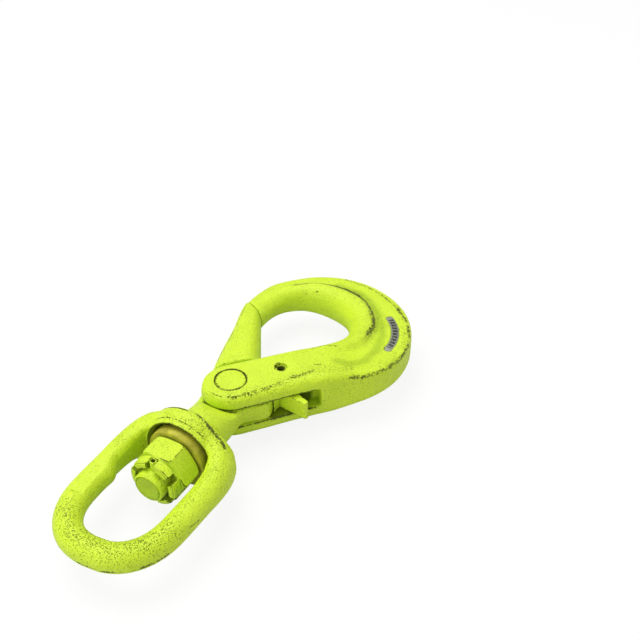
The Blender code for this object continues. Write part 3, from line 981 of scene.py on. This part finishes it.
@dataclass(frozen=True)
class EtchedLabel(Finish):
    """Satin plate with a row of plain dark bars."""

    centre: tuple[float, float] = (0.0, 0.0)
    radius: float = 35.3
    metal: Colour = (0.40, 0.43, 0.33)
    ink: Colour = (0.022, 0.026, 0.020)
    pitch: float = 5.2
    slant: float = 0.35
    row_middle: float = -65.75
    row_half: float = 27.5

    def build(self) -> bpy.types.Material:
        """Build the plate's finish.

        Returns:
            The material.
        """
        material, graph, shader, place = self.start()
        split = graph.node("ShaderNodeSeparateXYZ")
        graph.wire(place, split.inputs[0])
        x = graph.minus(split.outputs[0], self.centre[0])
        y = graph.minus(split.outputs[1], self.centre[1])
        reach = graph.math("SQRT", graph.plus(graph.times(x, x), graph.times(y, y)))
        off = graph.math("DIVIDE", graph.minus(reach, self.radius * MM), MM)
        across = graph.math("ABSOLUTE", off)
        angle = graph.math("DEGREES", graph.math("ARCTAN2", y, x))
        slant = graph.plus(angle, graph.times(off, self.slant))
        cell = graph.math("DIVIDE", graph.plus(slant, 360.0), self.pitch)
        cell = graph.math("FRACT", cell)
        bars = graph.minus(graph.ramp(cell, 0.04, 0.14), graph.ramp(cell, 0.80, 0.92))
        bars = graph.times(bars, graph.minus(1.0, graph.ramp(across, 1.70, 1.95)))
        middle = graph.math("DIVIDE", graph.plus(angle, -self.row_middle), self.row_half)
        ends = graph.ramp(graph.math("ABSOLUTE", middle), 0.94, 0.98)
        bars = graph.times(bars, graph.minus(1.0, ends))
        scuff = graph.ramp(graph.noise(place, 900.0, 3.0, 0.7), 0.52, 0.66)
        dark = graph.times(bars, graph.minus(1.0, graph.times(scuff, 0.6)))
        dark = graph.math("MAXIMUM", dark, graph.times(scuff, 0.30), clamp=True)
        graph.wire(graph.blend(dark, rgba(self.metal), rgba(self.ink)),
                   shader.inputs["Base Color"])
        graph.wire(graph.minus(0.55, graph.times(dark, 0.55)), shader.inputs["Metallic"])
        graph.wire(graph.plus(0.38, graph.times(dark, 0.25)), shader.inputs["Roughness"])
        return material


# -------------------------------------------------------------- sub-assemblies
@dataclass
class SubAssembly:
    """A group of pieces that ride on one body."""

    body: str
    made: list[bpy.types.Object] = field(default_factory=list)

    def hand_over(self, piece: bpy.types.Object, material: bpy.types.Material, slot: str,
                  *nodes: str, body: str | None = None) -> None:
        """Dress a piece, put it on its body and let it stand for its nodes.

        Args:
            piece: The finished piece.
            material: Its material.
            slot: Not used.
            nodes: The frame nodes it stands for.
            body: The body it rides on, if not the sub-assembly's own.
        """
        piece.data.materials.clear()
        piece.data.materials.append(material)
        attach(piece, body or self.body)
        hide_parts(*nodes)
        self.made.append(piece)
        LOG.info("%s: %d faces on %s", piece.name, len(piece.data.polygons), body or self.body)


@dataclass
class HookForging(SubAssembly):
    """The forked shank and bowl, its pins, trigger spring and label plate."""

    body: str = "hook"
    cheek_half: float = 17.0
    pin_bore: float = 10.3
    roll_hole: float = 4.0
    pitch: float = 0.8
    label_arc: tuple[float, float] = (87.2, -35.0)

    def build_body(self) -> None:
        """Forge the hook body and cut its holes and label recess."""
        piece = Bench.copy_of("hook_body", "hook_forging")
        tip, out = at(81.75, 35.65), Vector((-0.918, 0.396, 0.0)).normalized()
        Bench.lengthen(piece, tip, out, 3.0)
        plugs = []
        for side in (-1.0, 1.0):
            for centre, radius in ((PIVOT, self.pin_bore + 1.5),
                                   (TRIGGER_AXIS, self.roll_hole + 1.2)):
                levels = [(side * 7.1, radius), (side * (self.cheek_half - 0.03), radius)]
                plugs.append(Bench.turned("plug", Axis.UPRIGHT, centre, levels, steps=48))
        plugs.append(self.label_tool("label_plug", 0.5, 8.8, 9.97))
        Bench.merge(piece, *plugs)
        Bench.forge(piece, self.pitch, 12)
        Bench.trim(piece, tip, out)
        for centre, radius in ((PIVOT, self.pin_bore), (TRIGGER_AXIS, self.roll_hole)):
            flare = radius + 0.9
            levels = [(-18.0, flare + 0.3), (-self.cheek_half + 0.35, radius),
                      (self.cheek_half - 0.35, radius), (18.0, flare + 0.3)]
            Bench.work(piece, Bench.turned("drill", Axis.UPRIGHT, centre, levels), Cut.REMOVE)
        Bench.work(piece, self.label_tool("label_cutter", 0.28, 9.4, 12.0), Cut.REMOVE)
        Bench.shade(piece)
        Surface.read(piece, self.darkened_lines(), self.gritty_lines())
        # Painted shade along the fold between the bowl's bead and its flange.
        valley = Stroke([(51.7, -48.7, 14.9), (54.6, -57.1, 13.3), (64.6, -63, 11.3),
                         (79.4, -64.2, 10.5), (93.9, -60.8, 10.6), (105.4, -55, 10.6),
                         (117, -46, 10.5), (126, -35, 10.3), (131, -22, 10.3),
                         (132, -6, 10.2)], 5.5, 0.6)
        Surface.darken(piece, Surface.along(Surface.points(piece), valley))
        # Painted shade deep in the slot between the cheeks, beside the trigger.
        Surface.paint_shade_box(piece, at(2, -41.5, -9.5), at(47, -4, 7.6), 2.0)
        paint = SprayPaint("hook_paint", density=0.0).build()
        self.hand_over(piece, paint, "forging_paint", "hook_body")

    def label_tool(self, name: str, grow: float, low: float, high: float) -> bpy.types.Object:
        """Make a tool in the shape of the label plate.

        Args:
            name: The tool's name.
            grow: How much wider it is than the plate, in millimetres.
            low: Its lower level above the hook's middle plane.
            high: Its upper level.

        Returns:
            The tool.
        """
        tool = Bench.copy_of("label_plate", name)
        with Bench.editing(tool):
            bpy.ops.transform.shrink_fatten(value=grow * MM)
        middle = sum(vertex.co.z for vertex in tool.data.vertices) / len(tool.data.vertices)
        for vertex in tool.data.vertices:
            vertex.co.z = PIVOT.z + (high if vertex.co.z > middle else low) * MM
        return tool

    def darkened_lines(self) -> list[Stroke]:
        """Give the lines where the hook's paint is darkened: rubbed-off paint, with painted shade
        in the gap round the pivot pin and along the slot's rims.
        """
        return [
            # Painted shade: a dark ring in the gap between the pivot pin and its bore.
            Stroke(level_arc(10.4, range(0, 361, 12), 16.9), 0.7, 0.95),
            # Painted shade along the slot's rims, in the gap between the cheeks and the gate.
            *self.cheek_gap_shade(),
            Stroke([(116.2, 22.8, 10.8), (122, 14.9, 11.5), (128, 5.2, 11)], 1.4, 0.6),
            Stroke([(128, 5.2, 11), (130.5, -5, 11), (130.5, -15, 10.8), (128, -24.8, 10.8),
                    (123.3, -32.7, 11.2)], 2.4, 0.8),
            Stroke([(123.3, -32.7, 11.2), (113.8, -42.1, 14.2), (104.8, -48.6, 14.5),
                    (97.7, -52.9, 13.6)], 4.4, 0.6),
            Stroke([(97.7, -52.9, 13.6), (88, -52.9, 14)], 4.6, 0.55),
            Stroke([(-16.4, 4.5, 16.7), (-16.3, -2.9, 16.5), (-12.7, -10.5, 16.2)], 1.2, 0.5),
            Stroke([(-12.7, -10.5, 16.2), (-5.4, -16.9, 16.2), (5.6, -24.7, 16.6),
                    (19.5, -32.3, 17), (34, -42, 17)], 3.4, 0.42),
            Stroke([(44.1, -62.7, 12.1), (49.7, -68.3, 10.3), (56, -73, 10), (65, -77.5, 9.3),
                    (74.6, -80.3, 9), (85, -81.5, 8.6), (96.7, -79.6, 8.8)], 3.2, 0.48),
            Stroke([(104.8, -76.8, 9.2), (118.3, -68.1, 9.9), (129.6, -54.9, 10)], 3.0, 0.52),
            Stroke([(129.6, -54.9, 10), (138.5, -37.8, 10), (141.7, -23.2, 10),
                    (141.9, -5, 9.8)], 1.7, 0.5),
            Stroke([(108.1, 39.5, 7.7), (126, 20, 8.6), (141.9, -5, 9.8)], 0.9, 0.45),
            Stroke([(119.3, -12.4, 12.1)], 1.2, 0.8),
            Stroke([(118.3, 4.4, 9.8), (119.2, 3.2, 9.8)], 1.0, 0.9),
            Stroke([(115.3, 11.1, 7.7)], 0.9, 0.8),
            Stroke([(23.5, -31.2, 17), (22.1, -35.2, 17)], 0.9, 0.6),
            Stroke([(39.3, -38.8, 17), (42, -43.7, 16.7)], 1.2, 0.55),
            Stroke([(45, -26, 16.5), (60.3, -33.8, 15.8), (64.5, -41.7, 15.4)], 1.4, 0.55),
            Stroke([(22, 2.4, 16.0), (29.2, -3.5, 16.2), (48.7, -19.2, 16.2), (62, -30, 15.5)],
                   1.6, 0.55),
        ]

    @staticmethod
    def cheek_gap_shade() -> list[Stroke]:
        """Give dark lines of painted shade along the rims of the slot, in the gap between the
        cheeks and the gate.
        """
        return [
            Stroke(level_arc(19.3, range(110, 240, 10), level) + slot_edge((0, 25, 50), level),
                   1.6, 0.85)
            for level in (-7.2, 8.0)
        ]

    def gritty_lines(self) -> list[Stroke]:
        """Give the lines around which the hook's paint is pitted."""
        return [
            Stroke([(128, -24, 11), (113.8, -42.1, 14.2), (97.7, -52.9, 13.6),
                    (84, -52.9, 14.3)], 9.0, 0.9),
            Stroke([(-12, -8, 16), (8, -26, 16.6), (34, -42, 17), (50, -60, 12)], 9.0, 0.65),
            Stroke([(60, -33, 16), (84, -44, 15)], 6.0, 0.5),
            Stroke([(65, -77, 9), (97, -79, 9), (130, -54, 10)], 6.0, 0.6),
        ]

    def build_pins(self) -> None:
        """Turn the pivot pin and roll the trigger's spring pin."""
        half = self.cheek_half - 0.12
        levels = [(-half, 9.3), (-half + 0.25, 9.75), (-half + 0.7, 10.0), (half - 0.7, 10.0),
                  (half - 0.25, 9.75), (half, 9.3)]
        pin = Bench.turned("pivot_pin_painted", Axis.UPRIGHT, PIVOT, levels)
        Bench.forge(pin, 0.5, 2)
        Surface.read(pin, [Stroke([(-10, 0, half), (-7, 7, half), (0, 10, half)], 1.0, 0.5)])
        self.hand_over(pin, SprayPaint("pivot_pin_paint", density=0.02).build(), "pin_paint",
                       "pivot_pin")
        roll = self.spring_pin("trigger_roll_pin", TRIGGER_AXIS, 3.7, 2.3, 15.5)
        self.hand_over(roll, SprayPaint("roll_pin_paint", density=0.1, wear_and_shade=1.1).build(),
                       "pin_paint", "trigger_pin")

    @staticmethod
    def spring_pin(name: str, centre: Vector, outer: float, inner: float,
                   half: float) -> bpy.types.Object:
        """Roll a slotted spring pin.

        Args:
            name: The pin's name.
            centre: Its middle.
            outer: Its outer radius in millimetres.
            inner: Its inner radius.
            half: Half its length.

        Returns:
            The pin.
        """
        lip = (outer - inner) * 0.3
        levels = [(-half, outer - lip), (-half + lip, outer), (half - lip, outer),
                  (half, outer - lip), (half, inner + 0.1), (half - 0.3, inner),
                  (-half + 0.3, inner), (-half, inner + 0.1)]
        pin = Bench.turned(name, Axis.UPRIGHT, centre, levels, ring=True, steps=64)
        slit = Bench.bar("slit", centre + Vector((0, outer, 0)) * MM, (0.7, outer, half * 3))
        Bench.work(pin, slit, Cut.REMOVE)
        Bench.bevelled(pin, 0.12, 2)
        Bench.shade(pin)
        Surface.read(pin)
        # Painted shade: the inside of the pin is left unpainted and dark, also for the shade deep
        # in its bore.
        Surface.bare_shaded_bore(pin, centre, inner + 0.25)
        return pin

    def build_spring(self) -> None:
        """Smooth the trigger's torsion spring."""
        coil = Bench.copy_of("trigger_spring", "trigger_coil")
        Bench.rounded(coil)
        Bench.shade(coil, 60.0)
        wire = BareMetal("drawn_spring_wire", colour=(0.32, 0.32, 0.34), stain=(0.22, 0.21, 0.2))
        self.hand_over(coil, wire.build(), "spring_steel", "trigger_spring")

    def build_label(self) -> None:
        """Make the blank label plate with its row of plain bars."""
        plate = Bench.copy_of("label_plate", "label_badge")
        Bench.bevelled(plate, 0.14, 3)
        Bench.shade(plate)
        centre = at(*self.label_arc)
        finish = EtchedLabel("label_etching", centre=(centre.x, centre.y))
        self.hand_over(plate, finish.build(), "label_metal", "label_plate")

    def build(self) -> None:
        """Build every piece that is fixed to the hook."""
        self.build_body()
        self.build_pins()
        self.build_spring()
        self.build_label()


@dataclass
class Gate(SubAssembly):
    """The gate forging with its shank, the castle nut, its pin and the nut-side race."""

    body: str = "gate"
    collar_end: float = -37.2
    shank_radius: float = 10.0
    shank_end: float = -88.8
    groove_radius: float = 8.3
    nut_face: float = -61.3
    nut_shoulder: float = -77.5
    nut_end: float = -84.8
    nut_flats: float = 33.0
    crown_radius: float = 16.1
    slot_width: float = 5.2
    pin_place: float = -80.6

    def build_forging(self) -> None:
        """Forge the gate and add the machined shank."""
        piece = Bench.copy_of("latch_body", "gate_forging")
        seam, out = at(81.15, 36.15), Vector((0.920, -0.392, 0.0)).normalized()
        Bench.lengthen(piece, seam, out, 3.0)
        with Bench.editing(piece):
            bpy.ops.mesh.bisect(plane_co=at(self.collar_end - 2.0, 0), plane_no=(1, 0, 0),
                                use_fill=True, clear_inner=True)
        Bench.forge(piece, 0.72, 10)
        Bench.relax(piece, 45, at(-34, -30, -17), at(-8, 18, 17), 5.0)
        Bench.trim(piece, seam, out)
        groove, end = self.groove_radius, self.shank_end
        levels = [(end, 0.35), (end + 0.35, 0.9), (end, 1.5), (end, groove - 0.4),
                  (end + 0.7, groove), (end + 0.4, groove + 0.5), (end, self.shank_radius - 1.1),
                  (end + 1.1, self.shank_radius), (self.collar_end + 4.0, self.shank_radius)]
        shank = Bench.turned("shank", Axis.ALONG_HOOK, PIVOT, levels)
        Bench.work(piece, shank, Cut.ADD)
        hole = Bench.turned("pin_hole", Axis.UPRIGHT, at(self.pin_place, 0),
                            [(-20, 2.35), (20, 2.35)], steps=32)
        Bench.work(piece, hole, Cut.REMOVE)
        Bench.shade(piece)
        Surface.read(piece, self.darkened_lines(), [Stroke([(-38, 0, 14), (-20, -5, 14)], 8.0, 0.4)])
        self.hand_over(piece, SprayPaint("gate_paint", density=-0.02).build(), "forging_paint",
                       "latch_body")

    def darkened_lines(self) -> list[Stroke]:
        """Give the lines where the gate's paint is darkened: rubbed-off paint, and painted shade
        in the gap where the gate's hub meets the cheek.
        """
        # Painted shade: a dark line in the gap where the gate's hub meets the cheek.
        contact_shade = level_arc(19.8, range(150, 240, 10), 6.9) + slot_edge((0, 25), 6.9)
        disc = upright_arc(self.shank_end, self.groove_radius, range(0, 361, 15))
        return [
            Stroke(contact_shade, 1.7, 1.0),
            Stroke(disc, 0.5, 1.15),
            Stroke([(79.1, 40.4, 9.3), (60.3, 34.3, 9.9), (39.1, 27.7, 10.9),
                    (17.1, 22.3, 10.8)], 1.1, 0.5),
            Stroke([(-33, -16, 9), (-28, -16, 10)], 1.5, 0.3),
        ]

    def build_nut(self) -> None:
        """Mill the castle nut from a hexagon bar."""
        corner = self.nut_flats / 2 / math.cos(math.pi / 6)
        depth = self.nut_face - self.nut_shoulder
        bpy.ops.object.select_all(action="DESELECT")
        bpy.ops.mesh.primitive_cylinder_add(
            vertices=6, radius=corner * MM, depth=depth * MM, location=(0, 0, 0)
        )
        nut = Bench.named("castle_nut_painted")
        nut.rotation_euler = (0.0, math.pi / 2, 0.0)
        Bench.settle(nut)
        tallest = max(vertex.co.z for vertex in nut.data.vertices)
        if tallest > (self.nut_flats / 2 + 0.5) * MM:
            nut.rotation_euler = (math.pi / 6, 0.0, 0.0)
            Bench.settle(nut)
        nut.location = at((self.nut_face + self.nut_shoulder) / 2, 0)
        Bench.settle(nut)
        face, shoulder, end = self.nut_face, self.nut_shoulder, self.nut_end
        levels = [(shoulder - 0.5, corner - 1.5), (shoulder + 1.6, corner + 0.3),
                  (face - 2.4, corner + 0.3), (face + 0.05, corner - 2.45)]
        Bench.work(nut, Bench.turned("chamfers", Axis.ALONG_HOOK, PIVOT, levels),
                   Cut.KEEP_SHARED)
        crown = [(end, self.crown_radius - 1.7), (end + 1.3, self.crown_radius),
                 (shoulder + 3.0, self.crown_radius)]
        Bench.work(nut, Bench.turned("crown", Axis.ALONG_HOOK, PIVOT, crown), Cut.ADD)
        bore = [(end - 3.0, self.shank_radius + 2.2), (end + 2.2, self.shank_radius + 2.2),
                (end + 3.4, self.shank_radius + 0.3), (face + 3.0, self.shank_radius + 0.3)]
        Bench.work(nut, Bench.turned("bore", Axis.ALONG_HOOK, PIVOT, bore), Cut.REMOVE)
        middle = (shoulder - 1.0 + end - 4.0) / 2
        reach = shoulder - 1.0 - (end - 4.0)
        for turn in (0.0, math.pi / 3, 2 * math.pi / 3):
            slot = Bench.bar("slot", at(middle, 0), (reach, self.slot_width, 44.0), turn)
            Bench.work(nut, slot, Cut.REMOVE)
        Bench.forge(nut, 0.3, 1)
        Surface.read(nut, [], [Stroke([(-66, 0, 16), (-80, 0, 16)], 9.0, 0.3)])
        # Painted shade inside the crown's slots and bore, and in the gap where the nut's face
        # meets the race.
        Surface.paint_shade_ring(nut, (end + 0.5, shoulder + 2.0), (0.0, 15.3), 1.7)
        Surface.paint_shade_ring(nut, (face - 0.9, face + 1.0), (14.0, 20.0), 1.6)
        self.hand_over(nut, SprayPaint("nut_paint", density=0.0, waves=0.3).build(),
                       "forging_paint", "castle_nut")
        pin = HookForging.spring_pin("nut_roll_pin", at(self.pin_place, 0), 2.2, 1.15, 15.9)
        self.hand_over(pin, SprayPaint("nut_pin_paint", density=0.1).build(), "pin_paint",
                       "nut_pin")

    def build(self) -> None:
        """Build every piece that turns with the gate."""
        self.build_forging()
        self.build_nut()
        race = BallBearing.race("nut_side_race", -53.25, -61.0, 10.4)
        self.hand_over(race, BallBearing.zinc().build(), "zinc_steel", "race_nut_side")


@dataclass
class BallBearing(SubAssembly):
    """The cage and its balls."""

    body: str = "cage"

    @staticmethod
    def zinc() -> BareMetal:
        """Give the yellow zinc finish of the races."""
        return BareMetal("yellow_zinc", colour=(0.62, 0.58, 0.05), stain=(0.38, 0.37, 0.03),
                         roughness=0.45, metallic=0.35)

    @staticmethod
    def race(name: str, face: float, back: float, bore: float) -> bpy.types.Object:
        """Turn one grooved race.

        Args:
            name: The race's name.
            face: Place of its grooved face along the hook.
            back: Place of its plain face.
            bore: Its bore's radius.

        Returns:
            The race.
        """
        side = math.copysign(1.0, back - face)
        ball_x, circle, ball = -51.2, 15.6, 3.18
        levels = [(back, bore), (back, 19.5), (back - side * 0.5, 20.0), (back - side * 2.6, 20.3),
                  (face + side * 0.7, 20.3), (face, 19.8)]
        for step in range(9):
            angle = math.radians(50 - 100 * step / 8)
            levels.append((ball_x + side * ball * math.cos(angle),
                           circle + ball * math.sin(angle)))
        levels.append((face, bore))
        piece = Bench.turned(name, Axis.ALONG_HOOK, PIVOT, levels, ring=True, steps=128)
        Bench.bevelled(piece, 0.15, 2, 25.0)
        Bench.shade(piece)
        return piece

    def build(self) -> None:
        """Build the cage and the balls."""
        cage = Bench.copy_of("ball_cage", "bearing_cage")
        Bench.bevelled(cage, 0.12, 2)
        Bench.shade(cage)
        brass = BareMetal("stamped_brass", colour=(0.60, 0.42, 0.14), stain=(0.42, 0.28, 0.09))
        self.hand_over(cage, brass.build(), "brass", "ball_cage")
        steel = BareMetal("polished_ball_steel", roughness=0.12).build()
        for number in range(1, 13):
            node = "ball_%02d" % number
            ball = Bench.copy_of(node, "bearing_" + node)
            Bench.rounded(ball)
            Bench.shade(ball, 80.0)
            self.hand_over(ball, steel, "bearing_steel", node)


@dataclass
class SwivelLink(SubAssembly):
    """The oval link with its boss and the link-side race."""

    body: str = "link"
    recess_radius: float = 21.9
    recess_floor: float = -44.0
    boss_face: float = -57.0

    def build(self) -> None:
        """Forge the link and fit its race."""
        piece = Bench.copy_of("swivel_link", "link_forging")
        plug = Bench.turned("plug", Axis.ALONG_HOOK, PIVOT,
                            [(self.boss_face - 0.1, 24.4), (self.recess_floor + 2.0, 24.4)])
        Bench.merge(piece, plug)
        Bench.forge(piece, 0.75, 12)
        Bench.relax(piece, 45, at(-66, -42, -24), at(-52, -24, 24), 6.0)
        Bench.relax(piece, 45, at(-66, 24, -24), at(-52, 42, 24), 6.0)
        self.press_pad(piece)
        mouth = self.recess_radius + 2.0
        recess = [(-66.0, mouth), (self.boss_face - 0.1, mouth),
                  (self.boss_face + 2.2, self.recess_radius),
                  (self.recess_floor, self.recess_radius)]
        Bench.work(piece, Bench.turned("recess", Axis.ALONG_HOOK, PIVOT, recess), Cut.REMOVE)
        bore = [(self.recess_floor - 3.0, 10.6), (-30.0, 10.6)]
        Bench.work(piece, Bench.turned("bore", Axis.ALONG_HOOK, PIVOT, bore), Cut.REMOVE)
        Bench.shade(piece)
        Surface.read(piece, self.darkened_lines(), self.gritty_lines())
        # Painted shade in the gap between the race and the boss's recess wall.
        Surface.paint_shade_ring(piece, (self.boss_face - 0.3, self.recess_floor), (20.0, 23.95), 1.9)
        self.hand_over(piece, SprayPaint("link_paint", density=0.08).build(), "forging_paint",
                       "swivel_link")
        race = BallBearing.race("link_side_race", -49.15, -44.3, 10.6)
        self.hand_over(race, BallBearing.zinc().build(), "zinc_steel", "race_link_side")

    def press_pad(self, piece: bpy.types.Object) -> None:
        """Flatten the pad on one bar and relieve the bar beside the nut.

        Args:
            piece: The link.
        """
        points = Surface.points(piece)
        x, y, z = ((points[:, i] - PIVOT[i]) / MM for i in range(3))
        side = y > 0.0
        inside = np.clip((x + 118.0) / 3.0, 0, 1) * np.clip((-84.0 - x) / 12.0, 0, 1) * side
        slope = 7.5 + 0.10 * (y - 32.0)
        z = z - np.maximum(z - slope, 0.0) * inside
        relief = np.clip((x + 90.0) / 5.0, 0, 1) * np.clip((-58.0 - x) / 8.0, 0, 1)
        relief = relief * np.clip((30.0 - y) / 5.0, 0, 1) * (y > 15.0)
        y = y + 1.6 * relief
        bump = np.exp(-((x + 92.0) / 4.0) ** 2) * np.clip((27.0 - y) / 3.0, 0, 1) * (y > 10.0)
        y = y - 0.8 * bump
        moved = np.stack([x, y, z], axis=1) * MM + np.array(PIVOT)
        piece.data.vertices.foreach_set("co", moved.ravel())
        piece.data.update()
        Bench.relax(piece, 2)

    def darkened_lines(self) -> list[Stroke]:
        """Give the lines where the link's paint has rubbed off."""
        ridge = upright_arc(-45.6, 27.3, range(40, -71, -10))
        lip = upright_arc(-53.4, 25.2, range(50, -41, -10))
        return [
            Stroke(ridge[:5], 1.6, 0.85),
            Stroke([(-43.8, -6.1, 25.3), (-45.9, -13, 24.1), (-46.7, -18.5, 20.2),
                    (-47.6, -24.2, 16.6), (-50.3, -29.5, 14.3)], 2.6, 0.72),
            Stroke(ridge[6:], 1.6, 0.6),
            Stroke(lip, 1.1, 0.55),
            Stroke([(-145.4, 17, -1.2), (-148.6, 0, -1.4), (-145.5, -17.7, -1.8),
                    (-132.5, -32.6, -1.8), (-120, -38.5, -1.8)], 2.2, 0.6),
            Stroke([(-129.5, 14, 5.5), (-134.3, 4, 6.3), (-134.5, -4, 6.3), (-131, -14, 6.0),
                    (-125, -21, 5.8)], 1.3, 0.5),
            Stroke([(-130.7, 11.4, 3.8), (-134.6, 4.5, 6.6), (-135.1, -1, 6.9)], 0.9, 0.5),
            Stroke([(-132.8, 21.5, 8.6)], 1.7, 0.75),
            Stroke([(-129.5, -23.3, 8.6), (-125.1, -26.6, 8.6)], 0.8, 0.7),
            Stroke([(-102.7, -40.1, 2.7), (-93.9, -40.6, 1.2)], 1.0, 0.6),
            Stroke([(-89, 24.6, -2), (-109.7, 23.3, -2)], 1.1, 0.4),
            Stroke([(-116.2, 34.8, 7.6), (-116.5, 30, 8), (-113, 26, 7)], 1.0, 0.4),
        ]

    def gritty_lines(self) -> list[Stroke]:
        """Give the lines around which the link's paint is pitted."""
        return [
            Stroke([(-128, 26, 6), (-138, 14, 6), (-141, 0, 7), (-138, -15, 7),
                    (-126, -28, 7), (-112, -32, 7)], 13.0, 1.0),
            Stroke([(-112, -32, 7), (-60, -30, 10)], 9.0, 0.5),
            Stroke([(-52, 8, 25), (-52, -10, 24), (-52, -26, 18)], 10.0, 0.65),
            Stroke([(-75, 33, 9), (-70, 33, 9)], 5.0, 0.8),
        ]


@dataclass
class Trigger(SubAssembly):
    """The thumb trigger."""

    body: str = "trigger"

    def build(self) -> None:
        """Round the trigger's edges and paint it."""
        piece = Bench.copy_of("trigger", "thumb_trigger")
        Bench.bevelled(piece, 0.45, 3)
        Bench.forge(piece, 0.32, 3)
        Surface.read(piece)
        self.hand_over(piece, SprayPaint("trigger_paint", density=-0.05, wear_and_shade=0.9).build(),
                       "forging_paint", "trigger")


@dataclass
class Studio:
    """The pale floor, the soft lights and the camera."""

    lens: float = 53.44
    eye: tuple[float, float, float] = (-369.3, -274.3, 415.6)
    gaze: tuple[float, float, float] = (0.6901, 0.3904, -0.6094)
    floor_side: float = 8.0
    paper_glow: float = 0.88
    room_light: float = 0.42

    def build_floor(self) -> None:
        """Lay the flat floor."""
        bpy.ops.object.select_all(action="DESELECT")
        bpy.ops.mesh.primitive_plane_add(size=self.floor_side, location=(0, 0, 0))
        floor = Bench.named("studio_floor")
        with Bench.editing(floor):
            bpy.ops.mesh.subdivide(number_cuts=4)
        material, graph, shader, place = Finish("studio_paper").start()
        tone = graph.ramp(graph.noise(place, 1.5, 2.0, 0.5), 0.3, 0.7)
        seen = graph.node("ShaderNodeLightPath").outputs["Is Camera Ray"]
        paper = graph.blend(tone, rgba((0.125, 0.125, 0.125)), rgba((0.12, 0.12, 0.12)))
        graph.wire(graph.blend(seen, rgba((0.66, 0.66, 0.66)), paper),
                   shader.inputs["Base Color"])
        shader.inputs["Roughness"].default_value = 0.9
        shader.inputs["Specular IOR Level"].default_value = 0.0
        shader.inputs["Emission Color"].default_value = (1, 1, 1, 1)
        graph.wire(graph.times(seen, self.paper_glow),
                   shader.inputs["Emission Strength"])
        floor.data.materials.append(material)

    @staticmethod
    def soft_light(name: str, place: Vector, size: float, power: float) -> None:
        """Hang one soft light that faces the hook.

        Args:
            name: The light's name.
            place: Where it hangs, in metres.
            size: The side of its square.
            power: Its power in watts.
        """
        light = bpy.data.lights.new(name, "AREA")
        light.size = size
        light.energy = power
        lamp = bpy.data.objects.new(name, light)
        lamp.location = place
        lamp.rotation_mode = "QUATERNION"
        lamp.rotation_quaternion = (PIVOT - place).to_track_quat("-Z", "Y")
        bpy.context.scene.collection.objects.link(lamp)

    def build_lights(self) -> None:
        """Hang the lights and light the room evenly."""
        self.soft_light("overhead", Vector((0.05, 0.45, 1.5)), 1.1, 16.8)
        self.soft_light("left_fill", Vector((-1.5, 0.3, 0.8)), 0.9, 7.5)
        self.soft_light("right_fill", Vector((1.3, -1.1, 0.7)), 0.9, 3.6)
        world = bpy.data.worlds.new("studio_room")
        world.use_nodes = True
        graph = Graph(world.node_tree)
        seen = graph.node("ShaderNodeLightPath").outputs["Is Camera Ray"]
        room = world.node_tree.nodes["Background"]
        room.inputs["Color"].default_value = (1, 1, 1, 1)
        power = graph.plus(self.room_light, graph.times(seen, 0.55))
        graph.wire(power, room.inputs["Strength"])
        bpy.context.scene.world = world

    def build_camera(self) -> None:
        """Set up the camera."""
        data = bpy.data.cameras.new("camera")
        data.lens = self.lens
        data.sensor_width = 36.0
        data.clip_start = 0.01
        camera = bpy.data.objects.new("camera", data)
        camera.location = at(*self.eye)
        camera.rotation_mode = "QUATERNION"
        camera.rotation_quaternion = Vector(self.gaze).to_track_quat("-Z", "Y")
        bpy.context.scene.collection.objects.link(camera)
        bpy.context.scene.camera = camera

    def build(self) -> None:
        """Build the whole studio."""
        self.build_floor()
        self.build_lights()
        self.build_camera()
        bpy.context.scene.view_settings.view_transform = "Standard"


def main() -> None:
    """Build the effects, every sub-assembly and the studio, in order."""
    logging.basicConfig(level=logging.INFO, format="%(name)s %(message)s")
    Effects.build()
    for assembly in (HookForging(), Gate(), BallBearing(), SwivelLink(), Trigger()):
        assembly.build()
        LOG.info("%s: %d pieces", type(assembly).__name__, len(assembly.made))
    Studio().build()


if __name__ == "__main__":
    main()
